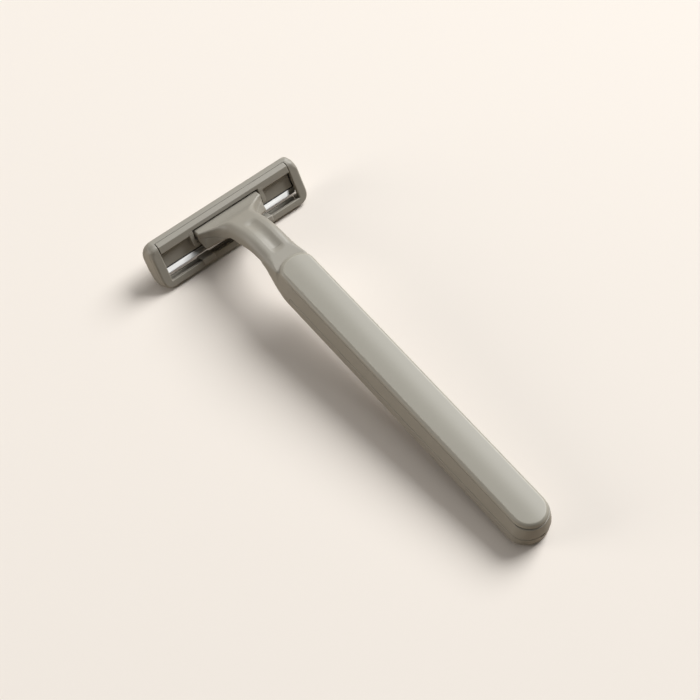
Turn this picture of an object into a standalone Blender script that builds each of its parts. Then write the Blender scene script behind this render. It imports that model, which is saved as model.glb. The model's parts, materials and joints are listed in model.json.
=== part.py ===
"""Disposable twin-blade razor with a pivoting head, lying blades down.

The handle is modelled in its own frame: Y runs from the butt to the head and Z
up through the grip, with zero at the underside of the butt. The head is
modelled round its pivot axis: Y is the depth from its back to the shaving side
and Z the rise from the guard to the crest. Empties carry both, the handle's
pitch follows from where butt and guard touch the table, and the whole model
then stands on the floor with its origin under the middle.
"""
import math

import bmesh
import bpy
from mathutils import Matrix, Vector

# Fits between pieces
GAP = 0.0003
BLADE_GAP = 0.00015
RUNNING_GAP = 0.00007
OVERRUN = 0.002

# Grip
GRIP_HALF_WIDTH = 0.00504
SEAM_HEIGHT = 0.00307
DECK_HEIGHT = 0.0062
DECK_INSET = 0.0008
BUTT_DEPTH = 0.00437
DECK_BUTT_INSET = 0.00095
BOTTOM_ROUND = 0.0011
WALL = 0.0012
DECK_THICKNESS = 0.0010
COVER_LENGTH = 0.0740
COVER_FLOOR = 0.0011
LIP_HEIGHT = 0.0008
LIP_WALL = 0.0007
NOTCH_WIDTH = 0.0012
NOTCH_HEIGHT = 0.0004
RIB_COUNT = 5
RIB_THICKNESS = 0.0008
RIB_DROP = 0.0010

# Thumb pad on the deck
PAD_OVERHANG = 0.0069
PAD_THICKNESS = 0.00108
PAD_SIDE_ROUND = 0.00109
PAD_TOP_INSET = 0.0009
PAD_FRONT_DEPTH = 0.0031
PEG_COUNT = 3
PEG_RADIUS = 0.0008
PEG_LENGTH = 0.0009

# Neck and yoke
NECK_HALF_WIDTH = 0.00385
NECK_OVERHANG = 0.0100
NECK_REACH = 0.0277
FILLET_RADIUS = 0.00405
PIVOT_DROP = 0.00336
YOKE_HALF_WIDTH = 0.00883
YOKE_RADIUS = 0.0023
YOKE_NEAR = 0.00116
YOKE_NEAR_HEIGHT = 0.0031
YOKE_FOOT = 0.0026
YOKE_FOOT_DROP = 0.00119
YOKE_LEAD = 0.00015
BARREL_RADIUS = 0.00087
TRUNNION_RADIUS = 0.00045
TRUNNION_LENGTH = 0.0009

# Return leaf under the neck
LEAF_HALF_WIDTH = 0.0013
LEAF_THICKNESS = 0.00035
LEAF_ROOT_LENGTH = 0.0022
LEAF_ROOT_THICKNESS = 0.0008
LEAF_TIP_RISE = 0.0013

# Head
HEAD_TILT = math.radians(36.9)
HEAD_HALF_LENGTH = 0.0202
END_FLARE = 0.0008
CORNER_RISE = 0.0026
CORNER_INSET = 0.0015
HEAD_RISE = 0.0113
HEAD_DEPTH = 0.00415
PIVOT_RISE = 0.0063
PIVOT_DEPTH = 0.0007
GUARD_RISE = 0.00168
FAR_RAIL = 0.00064
CAP_WIDTH = 0.00206
LEDGE_DEPTH = 0.0011
END_WALL = 0.0009
END_ROUND = 0.0006

# Blade carrier: beam, bed and posts
BEAM_LOW = 0.0080
BED_LOW = 0.00456
BED_DEPTH = 0.00136
POST_THICKNESS = 0.00136
POST_LOW = 0.0053
SWING_GAP = 0.00044
SWING_START = math.radians(-10)
SWING_END = math.radians(37)
STOP_LOW = 0.00174
STOP_HIGH = 0.0012

# Blades and their stack
BLADE_WIDTH = 0.0033
BLADE_THICKNESS = 0.0001
BEVEL_WIDTH = 0.0003
BLADE_ANGLE = math.radians(16.0)
EDGE_RISE = 0.00176
EDGE_DEPTH = 0.0031
BLADE_SPAN = 0.00152
SPACER_THICKNESS = 0.0003
SPACER_FRONT = 0.0013
SPACER_WIDTH = 0.0030
CAP_FRONT = 0.0024
CAP_THICKNESS = 0.0011
STRIP_WIDTH = 0.0028
STRIP_SINK = 0.0005
STRIP_END = 0.0020
STUD_COUNT = 4
STUD_RADIUS = 0.00025
STUD_ALONG = 0.0028
STUD_PITCH = 0.0092
STUD_SINK = 0.00045

# Guard strip: base, fins and the two lugs that hold it to the rail
STRIP_BASE = 0.0003
FIN_COUNT = 3
FIN_HEIGHT = 0.0004
FIN_THICKNESS = 0.0002
GUARD_ANGLE = math.radians(11.0)
LUG_INNER = 0.00655
LUG_WIDTH = 0.0033
LUG_LOW = 0.00045
LUG_WALL = 0.0003

# Places that follow from the sizes above
DECK_HALF_WIDTH = GRIP_HALF_WIDTH - DECK_INSET
GRIP_HEIGHT = DECK_HEIGHT + GAP + PAD_THICKNESS
PAD_TOP_HALF_WIDTH = DECK_HALF_WIDTH - PAD_SIDE_ROUND
PAD_END = COVER_LENGTH + PAD_OVERHANG
NECK_START = COVER_LENGTH + NECK_OVERHANG
PIVOT_ALONG = COVER_LENGTH + NECK_REACH
BACK_HALF_OPENING = HEAD_HALF_LENGTH - CAP_WIDTH
BLADE_HALF_LENGTH = HEAD_HALF_LENGTH - END_WALL - GAP
STRIP_HALF_LENGTH = BLADE_HALF_LENGTH - STRIP_END

# Shares of the reach from cover to pivot and of the deck's height
NECK_TOP_SHARES = [(0.249, 0.978), (0.430, 0.930), (0.639, 0.716), (0.772, 0.455), (0.873, 0.220)]
NECK_UNDER_SHARES = [
    (0.025, 0.016), (0.079, 0.132), (0.152, 0.229), (0.216, 0.328), (0.282, 0.456), (0.350, 0.539),
    (0.455, 0.540), (0.545, 0.455), (0.664, 0.216), (0.758, 0.022), (0.809, -0.174),
]
# Shares of the way from the grip's width to the neck's, along the tapering front
TAPER_SHARES = [(0.0, 0.0), (0.28, 0.12), (0.55, 0.45), (0.8, 0.83), (1.0, 1.05)]
# Shares of the head's rise and depth, round the side view of an end cap
CAP_SIDE_SHARES = [
    (-0.004, 0.075), (0.002, 0.018), (0.017, 0.000), (0.871, 0.000), (0.961, 0.287), (0.993, 0.430),
    (1.000, 0.510), (0.985, 0.600), (0.955, 0.700), (0.900, 0.813), (0.820, 0.915), (0.700, 0.981),
    (0.400, 0.976), (0.230, 0.880), (0.057, 0.711), (0.012, 0.554), (-0.002, 0.410),
]
# Shares of the leaf's reach and of its drop, from its root to its tip
LEAF_SHARES = [(0.0, 0.0), (0.25, 0.03), (0.48, 0.28), (0.68, 0.55), (0.84, 0.78), (1.0, 1.0)]
LEAF_ROOT_SHARE = 0.30
# Share of the guard rail's rise where its strip starts
STRIP_LOW_SHARE = 0.27
# Shares of a fin's thickness where the two sides of its tip stand
FIN_TIP_SHARES = [1.4, 0.6]
# Share of the wall that the pry notch cuts in
NOTCH_DEPTH_SHARE = 0.6
# Shares of the cap's back where the lubricating strip's middle lies, and of the strip's own crown
STRIP_PLACE_SHARE = 0.52
STRIP_CROWN_SHARE = 0.2
STRIP_FLAT_SHARES = (0.3, 0.7)
# Shares of the cap's width and thickness, on its shaving side
CAP_CROWN_SHARES = [(0.02, 0.30), (0.14, 0.62), (0.62, 1.0), (0.90, 0.92), (0.99, 0.62)]

PLASTIC = (0.335, 0.315, 0.270)
PLASTIC_SOFT = (0.350, 0.332, 0.288)
STEEL = (0.78, 0.78, 0.77)
STRIP_COLOUR = (0.62, 0.66, 0.60)


def make_material(name, colour, roughness, metallic=0.0):
    """A Principled material."""
    material = bpy.data.materials.new(name)
    material.use_nodes = True
    shader = material.node_tree.nodes["Principled BSDF"]
    shader.inputs["Base Color"].default_value = (*colour, 1.0)
    shader.inputs["Roughness"].default_value = roughness
    shader.inputs["Metallic"].default_value = metallic
    return material


def make_object(name, mesh_builder, material=None):
    """An object from a bmesh, with its faces pointing out."""
    bmesh.ops.recalc_face_normals(mesh_builder, faces=mesh_builder.faces)
    mesh = bpy.data.meshes.new(name)
    mesh_builder.to_mesh(mesh)
    mesh_builder.free()
    piece = bpy.data.objects.new(name, mesh)
    bpy.context.collection.objects.link(piece)
    if material:
        mesh.materials.append(material)
    return piece


def prism(name, outline, half_width, centre=0.0, material=None):
    """A side outline of (y, z) points, extruded along X."""
    builder = bmesh.new()
    corners = [builder.verts.new((centre - half_width, y, z)) for y, z in outline]
    face = builder.faces.new(corners)
    grown = bmesh.ops.extrude_face_region(builder, geom=[face])
    moved = [item for item in grown["geom"] if isinstance(item, bmesh.types.BMVert)]
    bmesh.ops.translate(builder, verts=moved, vec=Vector((2 * half_width, 0, 0)))
    return make_object(name, builder, material)


def loft(name, rings, material=None):
    """Closed rings of equal length, skinned and capped."""
    builder = bmesh.new()
    rows = [[builder.verts.new(point) for point in ring] for ring in rings]
    for low, high in zip(rows, rows[1:]):
        for i in range(len(low)):
            j = (i + 1) % len(low)
            builder.faces.new((low[i], low[j], high[j], high[i]))
    builder.faces.new(rows[0][::-1])
    builder.faces.new(rows[-1])
    return make_object(name, builder, material)


def box(name, low, high):
    """A block between two corners."""
    (x0, y0, z0), (x1, y1, z1) = low, high
    outline = [(y0, z0), (y1, z0), (y1, z1), (y0, z1)]
    return prism(name, outline, (x1 - x0) / 2, (x0 + x1) / 2)


def rod(name, start, end, radius, sides=20):
    """A cylinder between two points."""
    axis = Vector(end) - Vector(start)
    builder = bmesh.new()
    turn = axis.to_track_quat("Z", "Y").to_matrix().to_4x4()
    place = Matrix.Translation((Vector(start) + Vector(end)) / 2) @ turn
    bmesh.ops.create_cone(
        builder, cap_ends=True, segments=sides, radius1=radius, radius2=radius, depth=axis.length, matrix=place
    )
    return make_object(name, builder)


def combine(piece, tool, operation):
    """Apply a Boolean with a tool, and remove the tool."""
    modifier = piece.modifiers.new(operation.lower(), "BOOLEAN")
    modifier.operation = operation
    modifier.solver = "EXACT"
    modifier.object = tool
    graph = bpy.context.evaluated_depsgraph_get()
    finished = bpy.data.meshes.new_from_object(piece.evaluated_get(graph))
    piece.modifiers.remove(modifier)
    old = piece.data
    piece.data = finished
    finished.name = old.name
    bpy.data.meshes.remove(old)
    tool_mesh = tool.data
    bpy.data.objects.remove(tool)
    bpy.data.meshes.remove(tool_mesh)
    return piece


def curve_through(points, steps=3):
    """A smooth line through the points, with a few steps in each span."""
    ends = [points[0], *points, points[-1]]
    line = []
    for a, b, c, d in zip(ends, ends[1:], ends[2:], ends[3:]):
        for i in range(steps):
            t = i / steps
            line.append(tuple(
                0.5 * (2 * q + (r - p) * t + (2 * p - 5 * q + 4 * r - s) * t**2 + (3 * q - p - 3 * r + s) * t**3)
                for p, q, r, s in zip(a, b, c, d)
            ))
    line.append(points[-1])
    return line


def arc(centre, radius, start, end, steps):
    """Points on a circle from one angle to another, both included."""
    angles = [start + (end - start) * i / steps for i in range(steps + 1)]
    return [(centre[0] + radius * math.cos(a), centre[1] + radius * math.sin(a)) for a in angles]


def between(low, high, share):
    """The value a share of the way from one to the other."""
    return low + (high - low) * share


def taper_width(half_width, share):
    """The grip's half width where its front narrows to the neck."""
    for (a, wa), (b, wb) in zip(TAPER_SHARES, TAPER_SHARES[1:]):
        if share <= b:
            turn = wa + (wb - wa) * (share - a) / (b - a)
            return between(half_width, min(half_width, NECK_HALF_WIDTH), turn)
    return between(half_width, min(half_width, NECK_HALF_WIDTH), TAPER_SHARES[-1][1])


def butt_curve(half_width, inset, steps=7):
    """Half of the rounded butt in plan, from its middle to its side."""
    points = []
    for i in range(steps + 1):
        angle = math.pi / 2 * i / steps
        points.append((half_width * math.sin(angle), inset + BUTT_DEPTH * (1 - math.cos(angle))))
    return points


def mirrored(half):
    """A closed plan outline from its right half."""
    left = [(-x, y) for x, y in reversed(half) if x > 0]
    return half + left


def grip_plan(half_width, inset, shrink=0.0):
    """The grip's outline in plan, tapering to the neck in front of the cover."""
    half = butt_curve(half_width - shrink, inset + shrink)
    length = NECK_START + GAP - COVER_LENGTH
    for share, _ in TAPER_SHARES:
        half.append((taper_width(half_width, share) - shrink, COVER_LENGTH + length * share))
    return mirrored(half)


def grip_levels():
    """Height, half width and butt inset of each level of the grip's outside."""
    levels = []
    steps = 4
    for i in range(steps + 1):
        angle = math.pi / 2 * i / steps
        inset = BOTTOM_ROUND * (1 - math.sin(angle))
        levels.append((BOTTOM_ROUND * (1 - math.cos(angle)), GRIP_HALF_WIDTH - inset, inset))
    levels.append((SEAM_HEIGHT - GAP / 2, GRIP_HALF_WIDTH, 0.0))
    levels.append((DECK_HEIGHT, DECK_HALF_WIDTH, DECK_BUTT_INSET))
    return levels


def grip_body(name, material=None):
    """The outside of the grip from its underside to its deck, as one solid."""
    rings = []
    for height, half_width, inset in grip_levels():
        rings.append([(x, y, height) for x, y in grip_plan(half_width, inset)])
    return loft(name, rings, material)


def neck_curves():
    """The neck's top and underside in side view, from the cover to the yoke."""
    reach = PIVOT_ALONG - COVER_LENGTH
    top = [(COVER_LENGTH + reach * a, DECK_HEIGHT * h) for a, h in NECK_TOP_SHARES]
    under = [(COVER_LENGTH + reach * a, DECK_HEIGHT * h) for a, h in NECK_UNDER_SHARES]
    return top, under


def head_to_handle(depth, rise):
    """A point at a depth and rise from the pivot axis, in the handle's side view."""
    along = depth * math.cos(HEAD_TILT) + rise * math.sin(HEAD_TILT)
    up = rise * math.cos(HEAD_TILT) - depth * math.sin(HEAD_TILT)
    return PIVOT_ALONG + along, up - PIVOT_DROP


def yoke_outline():
    """The yoke in side view, from its near top edge round to its foot."""
    bar_side = []
    steps = 5
    first, last = math.radians(-8), math.radians(8)
    for i in range(steps + 1):
        turn = between(first, last, i / steps)
        bar_side.append(head_to_handle(YOKE_RADIUS * math.sin(turn), YOKE_RADIUS * math.cos(turn)))
    barrel = []
    for i in range(steps + 1):
        turn = math.pi / 2 * i / steps
        barrel.append(head_to_handle(BARREL_RADIUS * math.cos(turn), -BARREL_RADIUS * math.sin(turn)))
    near_top = (PIVOT_ALONG - YOKE_NEAR - YOKE_LEAD, YOKE_NEAR_HEIGHT - PIVOT_DROP)
    foot = (PIVOT_ALONG - YOKE_FOOT - YOKE_LEAD, -PIVOT_DROP - YOKE_FOOT_DROP)
    return [near_top, *bar_side, *barrel, foot]


def shell_side_outline():
    """The whole side view of the handle shell, with the neck and the yoke."""
    top, under = neck_curves()
    yoke = yoke_outline()
    deck_end = (PAD_END - PAD_FRONT_DEPTH, DECK_HEIGHT + OVERRUN)
    top_line = curve_through([*top, yoke[0]])
    under_line = curve_through([*under, yoke[-1]])
    start = (COVER_LENGTH, -OVERRUN)
    seam = [(-OVERRUN, SEAM_HEIGHT), (COVER_LENGTH, SEAM_HEIGHT)]
    back = [(-OVERRUN, DECK_HEIGHT + OVERRUN), deck_end, (deck_end[0], top[0][1])]
    outline = [*seam, start, (under[0][0], -OVERRUN), *under_line]
    outline += yoke[::-1][1:-1]
    outline += top_line[::-1]
    outline += back[::-1]
    return outline


def neck_plan():
    """Neck and yoke in plan, right half mirrored, with the round fillets."""
    near = PIVOT_ALONG - YOKE_NEAR
    centre = (NECK_HALF_WIDTH + FILLET_RADIUS, near - FILLET_RADIUS)
    fillet = arc(centre, FILLET_RADIUS, math.pi, math.pi / 2, 8)
    far = PIVOT_ALONG + YOKE_RADIUS + OVERRUN
    half = [(NECK_HALF_WIDTH, PAD_END - PAD_FRONT_DEPTH), *fillet]
    half += [(YOKE_HALF_WIDTH, near), (YOKE_HALF_WIDTH, far)]
    return half + [(-x, y) for x, y in reversed(half)]


def neck_body():
    """The neck's plan, raised along the slope of the yoke's near wall."""
    lean = (YOKE_FOOT - YOKE_NEAR) / (YOKE_NEAR_HEIGHT + YOKE_FOOT_DROP)
    base = YOKE_NEAR_HEIGHT - PIVOT_DROP
    low, high = base - GRIP_HEIGHT - OVERRUN, GRIP_HEIGHT + OVERRUN
    rings = []
    for height in (low, high):
        shift = lean * (height - base)
        rings.append([(x, y + shift, height) for x, y in neck_plan()])
    return loft("neck", rings)


def swing_floor(rise):
    """Depth from the pivot axis of the pocket's floor, at a rise above the axis."""
    radius = YOKE_RADIUS + SWING_GAP
    far = radius * math.sin(SWING_END), radius * math.cos(SWING_END)
    near = BARREL_RADIUS + GAP
    return between(near, far[0], rise / far[1])


def leaf_line():
    """The return leaf's centre line in side view, from its root to its tip."""
    top, under = neck_curves()
    root_along = between(COVER_LENGTH, PIVOT_ALONG, LEAF_ROOT_SHARE)
    root_up = under[5][1] + LEAF_ROOT_THICKNESS / 2 + GAP
    floor = swing_floor(LEAF_TIP_RISE)
    tip = head_to_handle(floor - GAP - LEAF_THICKNESS / 2, LEAF_TIP_RISE)
    points = []
    for along, drop in LEAF_SHARES:
        points.append((between(root_along, tip[0], along), between(root_up, tip[1], drop)))
    return curve_through(points)


def offset_line(line, distance):
    """A line moved sideways by a distance, positive to its left."""
    moved = []
    for i, (y, z) in enumerate(line):
        before, after = line[max(i - 1, 0)], line[min(i + 1, len(line) - 1)]
        run, rise = after[0] - before[0], after[1] - before[1]
        size = math.hypot(run, rise)
        moved.append((y - distance * rise / size, z + distance * run / size))
    return moved


def rib_places():
    """Where the cross ribs stand along the grip."""
    first, last = BUTT_DEPTH * 2, COVER_LENGTH - BUTT_DEPTH * 2
    return [between(first, last, i / (RIB_COUNT - 1)) for i in range(RIB_COUNT)]


def peg_places():
    """Where the pad's pegs stand, midway between ribs."""
    ribs = rib_places()
    middle = len(ribs) // 2
    spots = [0, middle, len(ribs) - 2][:PEG_COUNT]
    return [between(ribs[i], ribs[i + 1], 0.5) for i in spots]


def build_handle_shell(material):
    """Upper moulding: grip walls and deck, neck, and the yoke with its trunnions."""
    shell = grip_body("handle_shell", material)
    combine(shell, neck_body(), "UNION")
    side = prism("side_view", shell_side_outline(), YOKE_HALF_WIDTH + OVERRUN)
    combine(shell, side, "INTERSECT")
    cavity_rings = []
    top = DECK_HEIGHT - DECK_THICKNESS
    slope = (GRIP_HALF_WIDTH - DECK_HALF_WIDTH) / (DECK_HEIGHT - SEAM_HEIGHT)
    for height in (SEAM_HEIGHT - OVERRUN, top):
        width = GRIP_HALF_WIDTH - WALL - slope * max(0.0, height - SEAM_HEIGHT)
        inset = WALL + DECK_BUTT_INSET * max(0.0, height - SEAM_HEIGHT) / (DECK_HEIGHT - SEAM_HEIGHT)
        half = butt_curve(width, inset)
        half.append((width, COVER_LENGTH - WALL))
        cavity_rings.append([(x, y, height) for x, y in mirrored(half)])
    combine(shell, loft("cavity", cavity_rings), "DIFFERENCE")
    for place in rib_places():
        reach = DECK_HALF_WIDTH - WALL / 2
        low = (-reach, place - RIB_THICKNESS / 2, DECK_HEIGHT - DECK_THICKNESS - RIB_DROP)
        high = (reach, place + RIB_THICKNESS / 2, DECK_HEIGHT - DECK_THICKNESS / 2)
        combine(shell, box("rib", low, high), "UNION")
    for place in peg_places():
        low = (0, place, DECK_HEIGHT - DECK_THICKNESS - OVERRUN / 2)
        hole = rod("hole", low, (0, place, DECK_HEIGHT + OVERRUN), PEG_RADIUS + GAP)
        combine(shell, hole, "DIFFERENCE")
    line = leaf_line()
    above = offset_line(line, LEAF_THICKNESS / 2 + GAP)
    floor_level = min(z for _, z in line) - OVERRUN
    reach_back = line[0][0] - LEAF_ROOT_LENGTH / 2 - GAP
    root_top = line[0][1] + LEAF_ROOT_THICKNESS / 2 + GAP
    root_end = line[0][0] + LEAF_ROOT_LENGTH / 2 + GAP
    slot = [(reach_back, floor_level), (reach_back, root_top), (root_end, root_top)]
    slot += [point for point in above if point[0] > root_end]
    slot += [(above[-1][0] + OVERRUN, above[-1][1]), (above[-1][0] + OVERRUN, floor_level)]
    combine(shell, prism("leaf_slot", slot, LEAF_HALF_WIDTH + GAP), "DIFFERENCE")
    for side_sign in (-1, 1):
        start = (side_sign * (YOKE_HALF_WIDTH - WALL), PIVOT_ALONG, -PIVOT_DROP)
        end = (side_sign * (YOKE_HALF_WIDTH + TRUNNION_LENGTH), PIVOT_ALONG, -PIVOT_DROP)
        combine(shell, rod("trunnion", start, end, TRUNNION_RADIUS, 24), "UNION")
    return shell


def build_back_cover(material):
    """Lower moulding: a shallow tub that closes the grip, with a locating lip."""
    cover = grip_body("back_cover", material)
    low = (-GRIP_HALF_WIDTH - OVERRUN, -OVERRUN, -OVERRUN)
    high = (GRIP_HALF_WIDTH + OVERRUN, COVER_LENGTH - GAP, SEAM_HEIGHT - GAP)
    combine(cover, box("lower_half", low, high), "INTERSECT")
    lip_outer = WALL + GAP
    lip_inner = lip_outer + LIP_WALL
    lip = []
    for height in (SEAM_HEIGHT - GAP - WALL, SEAM_HEIGHT + LIP_HEIGHT):
        half = butt_curve(GRIP_HALF_WIDTH - lip_outer, lip_outer)
        half.append((GRIP_HALF_WIDTH - lip_outer, COVER_LENGTH - WALL - GAP))
        slope = (GRIP_HALF_WIDTH - DECK_HALF_WIDTH) / (DECK_HEIGHT - SEAM_HEIGHT)
        shrink = slope * max(0.0, height - SEAM_HEIGHT)
        lip.append([(x - math.copysign(shrink, x) if x else 0.0, y + shrink, height) for x, y in mirrored(half)])
    combine(cover, loft("lip", lip), "UNION")
    rings = []
    for height in (COVER_FLOOR, SEAM_HEIGHT + LIP_HEIGHT + OVERRUN):
        half = butt_curve(GRIP_HALF_WIDTH - lip_inner, lip_inner)
        half.append((GRIP_HALF_WIDTH - lip_inner, COVER_LENGTH - WALL - LIP_WALL - GAP))
        rings.append([(x, y, height) for x, y in mirrored(half)])
    combine(cover, loft("tub", rings), "DIFFERENCE")
    notch_low = (-NOTCH_WIDTH / 2, -OVERRUN, SEAM_HEIGHT - GAP - NOTCH_HEIGHT)
    notch_high = (NOTCH_WIDTH / 2, WALL * NOTCH_DEPTH_SHARE, SEAM_HEIGHT + OVERRUN)
    combine(cover, box("pry_notch", notch_low, notch_high), "DIFFERENCE")
    return cover


def build_grip_pad(material):
    """Raised thumb pad along the deck, with the pegs that hold it."""
    rings = []
    base = DECK_HEIGHT + GAP
    fillet = GRIP_HEIGHT - base
    steps = 4
    levels = [(base, 0.0)]
    levels += [(base + fillet * math.sin(math.pi / 2 * i / steps), 1 - math.cos(math.pi / 2 * i / steps))
               for i in range(1, steps + 1)]
    for height, share in levels:
        half_width = between(DECK_HALF_WIDTH, PAD_TOP_HALF_WIDTH, share)
        inset = between(DECK_BUTT_INSET, DECK_BUTT_INSET + PAD_TOP_INSET, share)
        end = PAD_END - PAD_TOP_INSET * 2 * share
        half = butt_curve(half_width, inset)
        front = arc((0, 0), 1.0, 0, math.pi / 2, 7)
        half += [(half_width * x, end - PAD_FRONT_DEPTH + PAD_FRONT_DEPTH * y) for x, y in front]
        half[-1] = (0.0, end)
        rings.append([(x, y, height) for x, y in mirrored(half)])
    pad = loft("grip_pad", rings, material)
    for place in peg_places():
        end = (0, place, base - PEG_LENGTH)
        combine(pad, rod("peg", (0, place, base + fillet / 2), end, PEG_RADIUS), "UNION")
    return pad


def build_return_leaf(material):
    """Flat spring that runs under the neck to the blade carrier."""
    line = leaf_line()
    outline = offset_line(line, LEAF_THICKNESS / 2) + offset_line(line, -LEAF_THICKNESS / 2)[::-1]
    leaf = prism("return_leaf", outline, LEAF_HALF_WIDTH, 0.0, material)
    middle = line[0]
    low = (-LEAF_HALF_WIDTH, middle[0] - LEAF_ROOT_LENGTH / 2, middle[1] - LEAF_ROOT_THICKNESS / 2)
    high = (LEAF_HALF_WIDTH, middle[0] + LEAF_ROOT_LENGTH / 2, middle[1] + LEAF_ROOT_THICKNESS / 2)
    return combine(leaf, box("leaf_root", low, high), "UNION")


def from_pivot(rise, depth):
    """A rise above the guard's foot and a depth below the back, seen from the pivot axis."""
    return depth - PIVOT_DEPTH, rise - PIVOT_RISE


def stack_point(along, offset):
    """A point measured along a blade from the lower edge, and square to it."""
    rise = EDGE_RISE + along * math.cos(BLADE_ANGLE) + offset * math.sin(BLADE_ANGLE)
    depth = EDGE_DEPTH - along * math.sin(BLADE_ANGLE) + offset * math.cos(BLADE_ANGLE)
    return from_pivot(rise, depth)


def cap_side_outline():
    """Side view of the head's end caps and rails."""
    return [from_pivot(HEAD_RISE * rise, HEAD_DEPTH * depth) for rise, depth in CAP_SIDE_SHARES]


def corner_inset(rise):
    """How far the round of an end cap's corners draws its face in."""
    inside = min(rise, HEAD_RISE - rise) / CORNER_RISE
    turn = 1 - min(1.0, max(0.0, inside))
    return CORNER_INSET * (1 - math.sqrt(1 - turn**2))


def build_head_frame(material):
    """Outer moulding of the head: two end caps, the far rail and the guard rail."""
    builder = bmesh.new()
    ends = []
    for sign in (-1, 1):
        row = []
        for y, z in cap_side_outline():
            flare = END_FLARE * (y + PIVOT_DEPTH) / HEAD_DEPTH - corner_inset(z + PIVOT_RISE)
            row.append(builder.verts.new((sign * (HEAD_HALF_LENGTH + flare), y, z)))
        ends.append(row)
    count = len(ends[0])
    for i in range(count):
        j = (i + 1) % count
        builder.faces.new((ends[0][i], ends[0][j], ends[1][j], ends[1][i]))
    caps = [builder.faces.new(ends[0]), builder.faces.new(ends[1])]
    rims = list({edge for face in caps for edge in face.edges})
    bmesh.ops.bevel(builder, geom=rims, offset=END_ROUND, segments=3, profile=0.5, affect="EDGES")
    frame = make_object("head_frame", builder, material)
    through = [
        from_pivot(GUARD_RISE, -OVERRUN), from_pivot(HEAD_RISE - FAR_RAIL, -OVERRUN),
        from_pivot(HEAD_RISE - FAR_RAIL, HEAD_DEPTH + OVERRUN), from_pivot(GUARD_RISE, HEAD_DEPTH + OVERRUN),
    ]
    combine(frame, prism("back_opening", through, BACK_HALF_OPENING), "DIFFERENCE")
    wide = [
        from_pivot(GUARD_RISE, LEDGE_DEPTH), from_pivot(HEAD_RISE - FAR_RAIL, LEDGE_DEPTH),
        from_pivot(HEAD_RISE - FAR_RAIL, HEAD_DEPTH + OVERRUN), from_pivot(GUARD_RISE, HEAD_DEPTH + OVERRUN),
    ]
    combine(frame, prism("pack_pocket", wide, HEAD_HALF_LENGTH - END_WALL), "DIFFERENCE")
    base = guard_base_line()
    seat = [from_pivot(-OVERRUN, base), from_pivot(GUARD_RISE + OVERRUN, base)]
    seat += [from_pivot(GUARD_RISE + OVERRUN, HEAD_DEPTH + OVERRUN), from_pivot(-OVERRUN, HEAD_DEPTH + OVERRUN)]
    return combine(frame, prism("guard_seat", seat, BACK_HALF_OPENING), "DIFFERENCE")


def guard_base_line():
    """Depth at which the guard strip's bed is cut in the rail."""
    return EDGE_DEPTH - STRIP_BASE - FIN_HEIGHT - GAP / 2


def fin_tip(rise):
    """Depth of a fin's tip, falling away from the lower blade's edge."""
    return EDGE_DEPTH - (EDGE_RISE - rise) * math.tan(GUARD_ANGLE)


def stop_outline():
    """Side view of the ledge that the yoke's foot rests on."""
    foot_along, foot_up = -YOKE_FOOT - YOKE_LEAD, -YOKE_FOOT_DROP
    foot_depth = foot_along * math.cos(HEAD_TILT) - foot_up * math.sin(HEAD_TILT)
    foot_rise = foot_along * math.sin(HEAD_TILT) + foot_up * math.cos(HEAD_TILT)
    slope = foot_depth / (foot_rise + BARREL_RADIUS)
    reach = GAP * math.hypot(1.0, slope)
    root = BED_DEPTH - PIVOT_DEPTH + GAP
    corners = [(root, -STOP_HIGH)]
    for drop in (STOP_HIGH, STOP_LOW):
        corners.append((slope * (BARREL_RADIUS - drop) + reach, -drop))
    return corners + [(root, -STOP_LOW)]


def stud_places():
    """Where the cap's studs stand along the blades."""
    return [STUD_PITCH * (i - (STUD_COUNT - 1) / 2) for i in range(STUD_COUNT)]


def stud(name, place, radius, start, end):
    """A rod square to the blades, between two offsets from the lower blade's back."""
    low, high = stack_point(STUD_ALONG, start), stack_point(STUD_ALONG, end)
    return rod(name, (place, *low), (place, *high), radius, 12)


def drill_for_studs(piece):
    """Holes for the cap's studs."""
    for place in stud_places():
        hole = stud("stud_hole", place, STUD_RADIUS + BLADE_GAP, -STUD_SINK - BLADE_GAP, cap_offset())
        combine(piece, hole, "DIFFERENCE")
    return piece


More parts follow.
